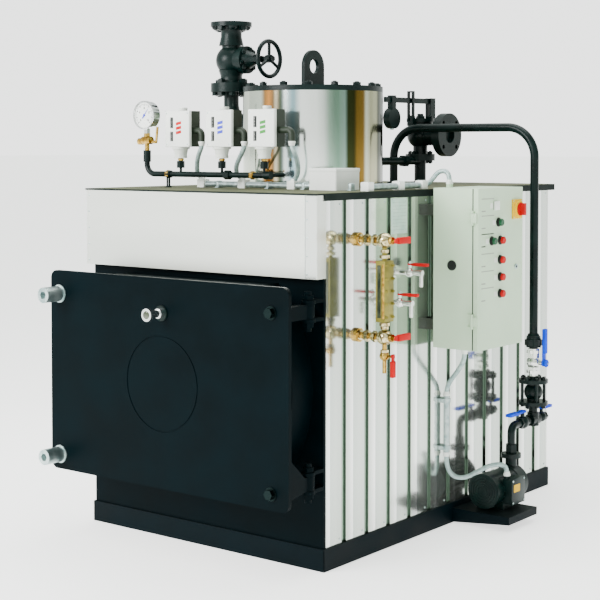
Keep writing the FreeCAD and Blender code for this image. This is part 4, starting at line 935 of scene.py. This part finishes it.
def data_plate():
    plate = block((534.5, -379, 1098), (536.2, -279, 1223), 0.5, 1)
    finish_piece("data_plate", plate, PLATE_METAL)
    lines = []
    for number in range(9):
        height = 1208 - number * 12
        lines.append(block((536.1, -372, height - 0.5), (536.5, -286, height + 0.5), 0.1, 1))
    finish_piece("data_plate_lines", lines, GALVANISED)
    rivet = turned((0, 0, 0), UP, ((0, 2.6), (0.8, 2.4), (1.3, 1.2)), 10)
    places = [((536, y, z), RIGHT, 0) for y in (-375, -283) for z in (1102, 1219)]
    finish_piece("data_plate_rivets", copies(rivet, places), ZINC)


def base_welds():
    beads = []
    for side in (-1, 1):
        for end in (-1, 1):
            x, y = side * 541, end * 776
            beads.append(block((min(x, x - side * 6), min(y, y - end * 6), 2),
                               (max(x, x - side * 6), max(y, y - end * 6), 73), 2, 2))
    finish_piece("base_welds", beads, BASE_PAINT)


def rear_details():
    hatch = block((-330, 938, 470), (-150, 946, 850), 2, 2)
    other = block((150, 938, 470), (330, 946, 850), 2, 2)
    finish_piece("smokebox_hatches", [hatch, other], BLACK_PAINT)
    knob = hexagon((0, 0, 0), UP, 22, 11, bore=6)
    places = [((x, 946, z), BACK, 0) for x in (-312, -168, 168, 312) for z in (490, 660, 830)]
    finish_piece("smokebox_hatch_nuts", copies(knob, places), ZINC)
    rim = turned((0, 1032, 660), BACK, ((0, 128.5), (14, 128.5), (16, 126.5), (16, 122)), 64)
    open_ends(rim)
    finish_piece("flue_rim", rim, BLACK_PAINT)


# ------------------------------------------------------------------ control cabinet
BUTTONS = ((-29, 1133, "green"), (-76, 1068, "green"), (-16, 1068, "red"), (-16, 998, "red"),
           (-16, 936, "red"), (-16, 876, "red"))
ISOLATOR = (103, 1176)


def cabinet_buttons():
    """Coloured caps over the black collars of the push buttons."""
    caps = {"green": [], "red": []}
    for y, z, colour in BUTTONS:
        caps[colour].append(turned((CABINET_X + 10, y, z), RIGHT,
                                   ((0, 13.2), (6, 13.2), (8.4, 12), (9.4, 9), (8.8, 6)), 28))
    for colour, finish in (("green", GREEN_CAP), ("red", RED_CAP)):
        finish_piece("button_caps_" + colour, caps[colour], finish, "cabinet_leaf")
    lamp = block((CABINET_X + 2, -64, 1177), (CABINET_X + 9, -32, 1209), 1.2, 2)
    finish_piece("lamp_lens", lamp, WHITE_PLASTIC, "cabinet_leaf")
    rings = [turned((CABINET_X, y, z), RIGHT,
                    ((0, 16.5), (3, 16.5), (4.2, 15), (4.2, 13.4), (10.4, 13.4)), 28)
             for y, z, colour in BUTTONS]
    finish_piece("button_rings", rings, BLACK_PLASTIC, "cabinet_leaf")


def cabinet_labels():
    """Blank name strips beside the buttons, and the yellow plate of the isolator."""
    strips, lines = [], []
    for y, z, colour in BUTTONS + ((-48, 1193, "white"),):
        if colour != "red" or z < 1000:
            strips.append(block((CABINET_X - 0.4, y - 40, z - 9), (CABINET_X + 0.8, y - 19, z + 9),
                                0.3, 1))
        lines.append(block((CABINET_X - 0.4, -146, z - 20), (CABINET_X + 0.5, -118, z - 16), 0.2, 1))
        lines.append(block((CABINET_X - 0.4, -146, z + 24), (CABINET_X + 0.5, -60, z + 27), 0.2, 1))
    finish_piece("button_strips", strips, LABEL_STRIP, "cabinet_leaf")
    finish_piece("button_lines", lines, STRIP_INK, "cabinet_leaf")
    y, z = ISOLATOR
    plate = block((CABINET_X - 0.2, y - 35, z - 35), (CABINET_X + 6, y + 35, z + 35), 1.4, 2)
    collar = turned((CABINET_X + 5, y, z), RIGHT, ((0, 32), (9, 31), (11, 29), (11, 24.6)), 36)
    finish_piece("isolator_plate", [plate, collar], YELLOW_PLATE, "cabinet_leaf")
    screw = pan_head((0, 0, 0), UP, 3, 1.2)
    places = [((CABINET_X + 5.9, y + 30 * side, z + 30 * level), RIGHT, 0) for side in (-1, 1)
              for level in (-1, 1)]
    finish_piece("isolator_screws", copies(screw, places), ZINC, "cabinet_leaf")


def cabinet_lock():
    lock = turned((CABINET_X - 1, 99, 966), RIGHT, ((0, 10), (4, 10), (5, 9), (5, 5.2), (2, 5)), 24)
    finish_piece("cabinet_lock", lock, ZINC, "cabinet_leaf")
    key = block((CABINET_X + 1, 97.6, 962), (CABINET_X + 4, 100.4, 970), 0.5, 1)
    finish_piece("lock_key", key, BLACK_PLASTIC, "cabinet_leaf")
    plug = turned((653, -168, 981), FRONT, ((0, 18.5), (2.2, 18.5), (3.4, 16.5), (3.4, 10),
                                                          (2.6, 9)), 32)
    finish_piece("cabinet_plug", plug, BLACK_PLASTIC)


def cabinet_seal():
    """Dark rubber line between the cabinet and its door."""
    seam = CABINET_X - 22
    seal = block((seam - 2.4, -168.4, 683.4), (seam + 0.6, 151.4, 1254.6), 0.6, 1)
    open_up(seal)
    pick(seal, lambda face: abs(face.normal.x) > 0.9)
    bpy.ops.mesh.inset(thickness=12 * MM, depth=0.0)
    bpy.ops.mesh.delete(type="FACE")
    close_up()
    finish_piece("cabinet_seal", seal, BLACK_PLASTIC)


# ------------------------------------------------------------------ water gauge and cocks
def level_gauge_details():
    plate = block((630.5, -608.5, 822), (666.5, -555.5, 1022), 1.4, 2)
    window = block((637, -611.4, 834), (650.5, -606, 1010), 0.8, 1)
    finish_piece("gauge_cover", plate, OLIVE_BRASS)
    finish_piece("gauge_window", window, GAUGE_SLOT)
    tube = turned((659, -607.5, 832), UP, ((0, 5.4), (182, 5.4)), 20)
    finish_piece("gauge_tube", tube, BRASS)
    bolt = hexagon((0, 0, 0), UP, 10, 5, bore=3)
    places = [((667, y, z), RIGHT, 0) for y in (-601, -563) for z in (836, 880, 922, 964, 1008)]
    finish_piece("gauge_bolts", copies(bolt, places), OLIVE_BRASS)
    nuts = []
    for height in (1091, 767):
        for start in (541, 574, 602):
            nuts.append(hexagon((start, -582, height), RIGHT, 34, 12))
        nuts.append(turned((647, -582, height), RIGHT, ((-24, 15), (-16, 22), (-6, 25.5), (6, 25.5),
                                                                    (16, 22), (24, 15)), 24))
    for height, across in ((1032, 30), (1050, 24), (806, 30), (794, 24)):
        nuts.append(hexagon((647, -582, height), UP, across, 11))
    nuts.append(hexagon((647, -582, 716), UP, 24, 10))
    finish_piece("gauge_cock_nuts", nuts, COCK_METAL)


GRIPS = (("level_top", (687, -573, 1080), (701, -503, 1102), RED_VINYL),
         ("level_bottom", (687, -573, 756), (701, -503, 778), RED_VINYL),
         ("level_drain", (676, -592, 635), (688, -572, 690), RED_VINYL),
         ("try_upper", (607, -357, 989), (668, -339, 999), RED_VINYL),
         ("try_lower", (607, -419, 889), (668, -401, 899), RED_VINYL),
         ("feed", (693, 431, 600), (707, 453, 696), BLUE_VINYL),
         ("branch", (637, 246, 373), (663, 318, 385), BLUE_VINYL),
         ("drain", (639, 524, 367), (661, 581, 379), BLUE_VINYL))
LEVER_HUBS = (("feed", (704, 442, 562), RIGHT), ("branch", (650, 357, 378), UP),
              ("drain", (650, 508, 372), UP))
LEVER_NUTS = (("upper", "try_upper", (595, -348, 997), UP, 11),
              ("lower", "try_lower", (595, -410, 897), UP, 11),
              ("feed", "feed", (706, 442, 562), RIGHT, 12))


def lever_grips():
    """Vinyl grips pushed over the ends of the flat levers, with the levers' hubs and nuts."""
    for lever, low, high, finish in GRIPS:
        finish_piece("grip_" + lever, block(low, high, 2.6, 3), finish, lever + "_handle")
    for lever, place, axis in LEVER_HUBS:
        hub = turned(place, axis, ((0, 15), (5, 15), (7, 13), (7, 6)), 24)
        finish_piece(lever + "_hub", hub, BLUE_VINYL, lever + "_handle")
    for name, lever, place, axis, across in LEVER_NUTS:
        nut = hexagon((0, 0, 0), UP, across, 5, bore=3)
        finish_piece("lever_nut_" + name, copies(nut, [(place, axis, 0)]), ZINC, lever + "_handle")


# ------------------------------------------------------------------ feed line and pump
def feed_fixings():
    unions = [hexagon((650, 442, 628), UP, 60, 24),
              turned((650, 442, 652), UP, ((0, 27), (12, 27), (14, 24), (22, 21)), 24)]
    unions += [hexagon((650, 442, height), UP, 46, 12) for height in (520, 598)]
    finish_piece("feed_union", unions[0], CAST_BLACK)
    finish_piece("feed_union", unions[1], CAST_BLACK)
    finish_piece("ball_valve_hexes", unions[2:], NICKEL)
    nut = hexagon((0, 0, 0), UP, 18, 9, bore=6)
    places = ring_places((650, 442, 496), UP, 44, 4, math.radians(45))
    places += ring_places((650, 442, 396), DOWN, 44, 4, math.radians(45))
    finish_piece("check_valve_nuts", copies(nut, places), CAST_BLACK)


def pump_details():
    fins = []
    for number in range(22):
        angle = math.tau * number / 22
        if abs(math.degrees(angle) - 90) < 28 or 250 < math.degrees(angle) < 290:
            continue
        fin = block((58, 106, -1.4), (66, 214, 1.4), 0.5, 1)
        fin.data.transform(Matrix.Translation(Vector((650, 0, 125)) * MM) @ Matrix.Rotation(-angle, 4, "Y"))
        fins.append(fin)
    finish_piece("motor_fins", fins, MOTOR_PAINT)
    rings = [turned((650, 62.4, 125), FRONT, ((0, radius), (1.4, radius), (2.0, radius - 1.6),
                                                            (2.0, radius - 4), (0, radius - 5)), 40)
             for radius in (56, 46, 36, 26)]
    hub = turned((650, 62.4, 125), FRONT, ((0, 16), (2.4, 16), (3, 13)), 32)
    finish_piece("fan_grille", rings + [hub], MOTOR_PAINT)
    lid = block((739, 110, 76), (745, 207, 173), 1.6, 2)
    finish_piece("terminal_lid", lid, MOTOR_PAINT)
    plate = block((744.6, 124, 122), (746, 168, 150), 0.4, 1)
    finish_piece("terminal_plate", plate, YELLOW_PLATE)
    screw = pan_head((0, 0, 0), UP, 4, 2)
    places = [((745, y, z), RIGHT, 0) for y in (118, 199) for z in (84, 165)]
    finish_piece("terminal_screws", copies(screw, places), ZINC)
    bolt = hexagon((0, 0, 0), UP, 16, 8, bore=5)
    places = ring_places((650, 262, 125), BACK, 52, 6, math.radians(15))
    places = [(Vector((point.x, 236, point.z)), FRONT, turn) for point, axis, turn in places]
    finish_piece("pump_body_bolts", copies(bolt, places), ZINC)


# ------------------------------------------------------------------ furnace door
def door_details():
    rope = turned((0, -884, 596.5), FRONT, ((0, 462), (3, 458), (3, 452), (0, 448)), 96)
    open_ends(rope)
    for corner in rope.data.vertices:
        height = corner.co.z - 0.5965
        reach = math.hypot(corner.co.x, height) * 0.74
        corner.co.z = 0.5965 + max(-reach, min(reach, height))
    finish_piece("door_rope", rope, ROPE, "furnace_door")
    washers = [washer((478, -975, z), FRONT, 23, 3) for z in (290, 873)]
    washers += [washer((-505, -975, z), FRONT, 33, 4) for z in (290, 873)]
    finish_piece("door_washers", washers, BOLT_ZINC, "furnace_door")
    collar = turned((0, -975, 838), FRONT, ((0, 27), (5, 27), (7, 25), (7, 19)), 32)
    finish_piece("sight_collar", collar, CAST_BLACK, "furnace_door")
    lens = turned((0, -1050.2, 838), FRONT, ((0, 14), (2.4, 12.6), (3.4, 9), (3.8, 4)), 28)
    finish_piece("sight_lens", lens, GAUGE_SLOT, "furnace_door")


def tube_ends():
    """Fire tubes rolled into the tube plate round the furnace, seen when the door stands open."""
    ring = turned((0, 0, 0), UP, ((0, 28), (5, 28), (6, 26.5), (6, 23.5), (1.2, 23)), 16)
    places = []
    for radius, count in ((310, 22), (392, 30)):
        for number in range(count):
            angle = math.tau * (number + 0.5) / count
            x, rise = radius * math.cos(angle), radius * math.sin(angle)
            if abs(rise) < 316:
                places.append(((x, FRONT_FACE - 12, 596.5 + rise), FRONT, 0))
    finish_piece("fire_tube_ends", copies(ring, places), SOOT)


for make in (hose_fittings, gauge_dial, gauge_pointer, gauge_bezel, switch_covers, switch_scales,
             switch_marks, switch_fittings, stop_valve_fixings, dome_fixings, safety_valve_fixings,
             deck_wiring, header_details, casing_rivets, data_plate, base_welds, rear_details,
             cabinet_buttons, cabinet_labels, cabinet_lock, cabinet_seal, level_gauge_details,
             lever_grips, feed_fixings, pump_details, door_details, tube_ends):
    make()
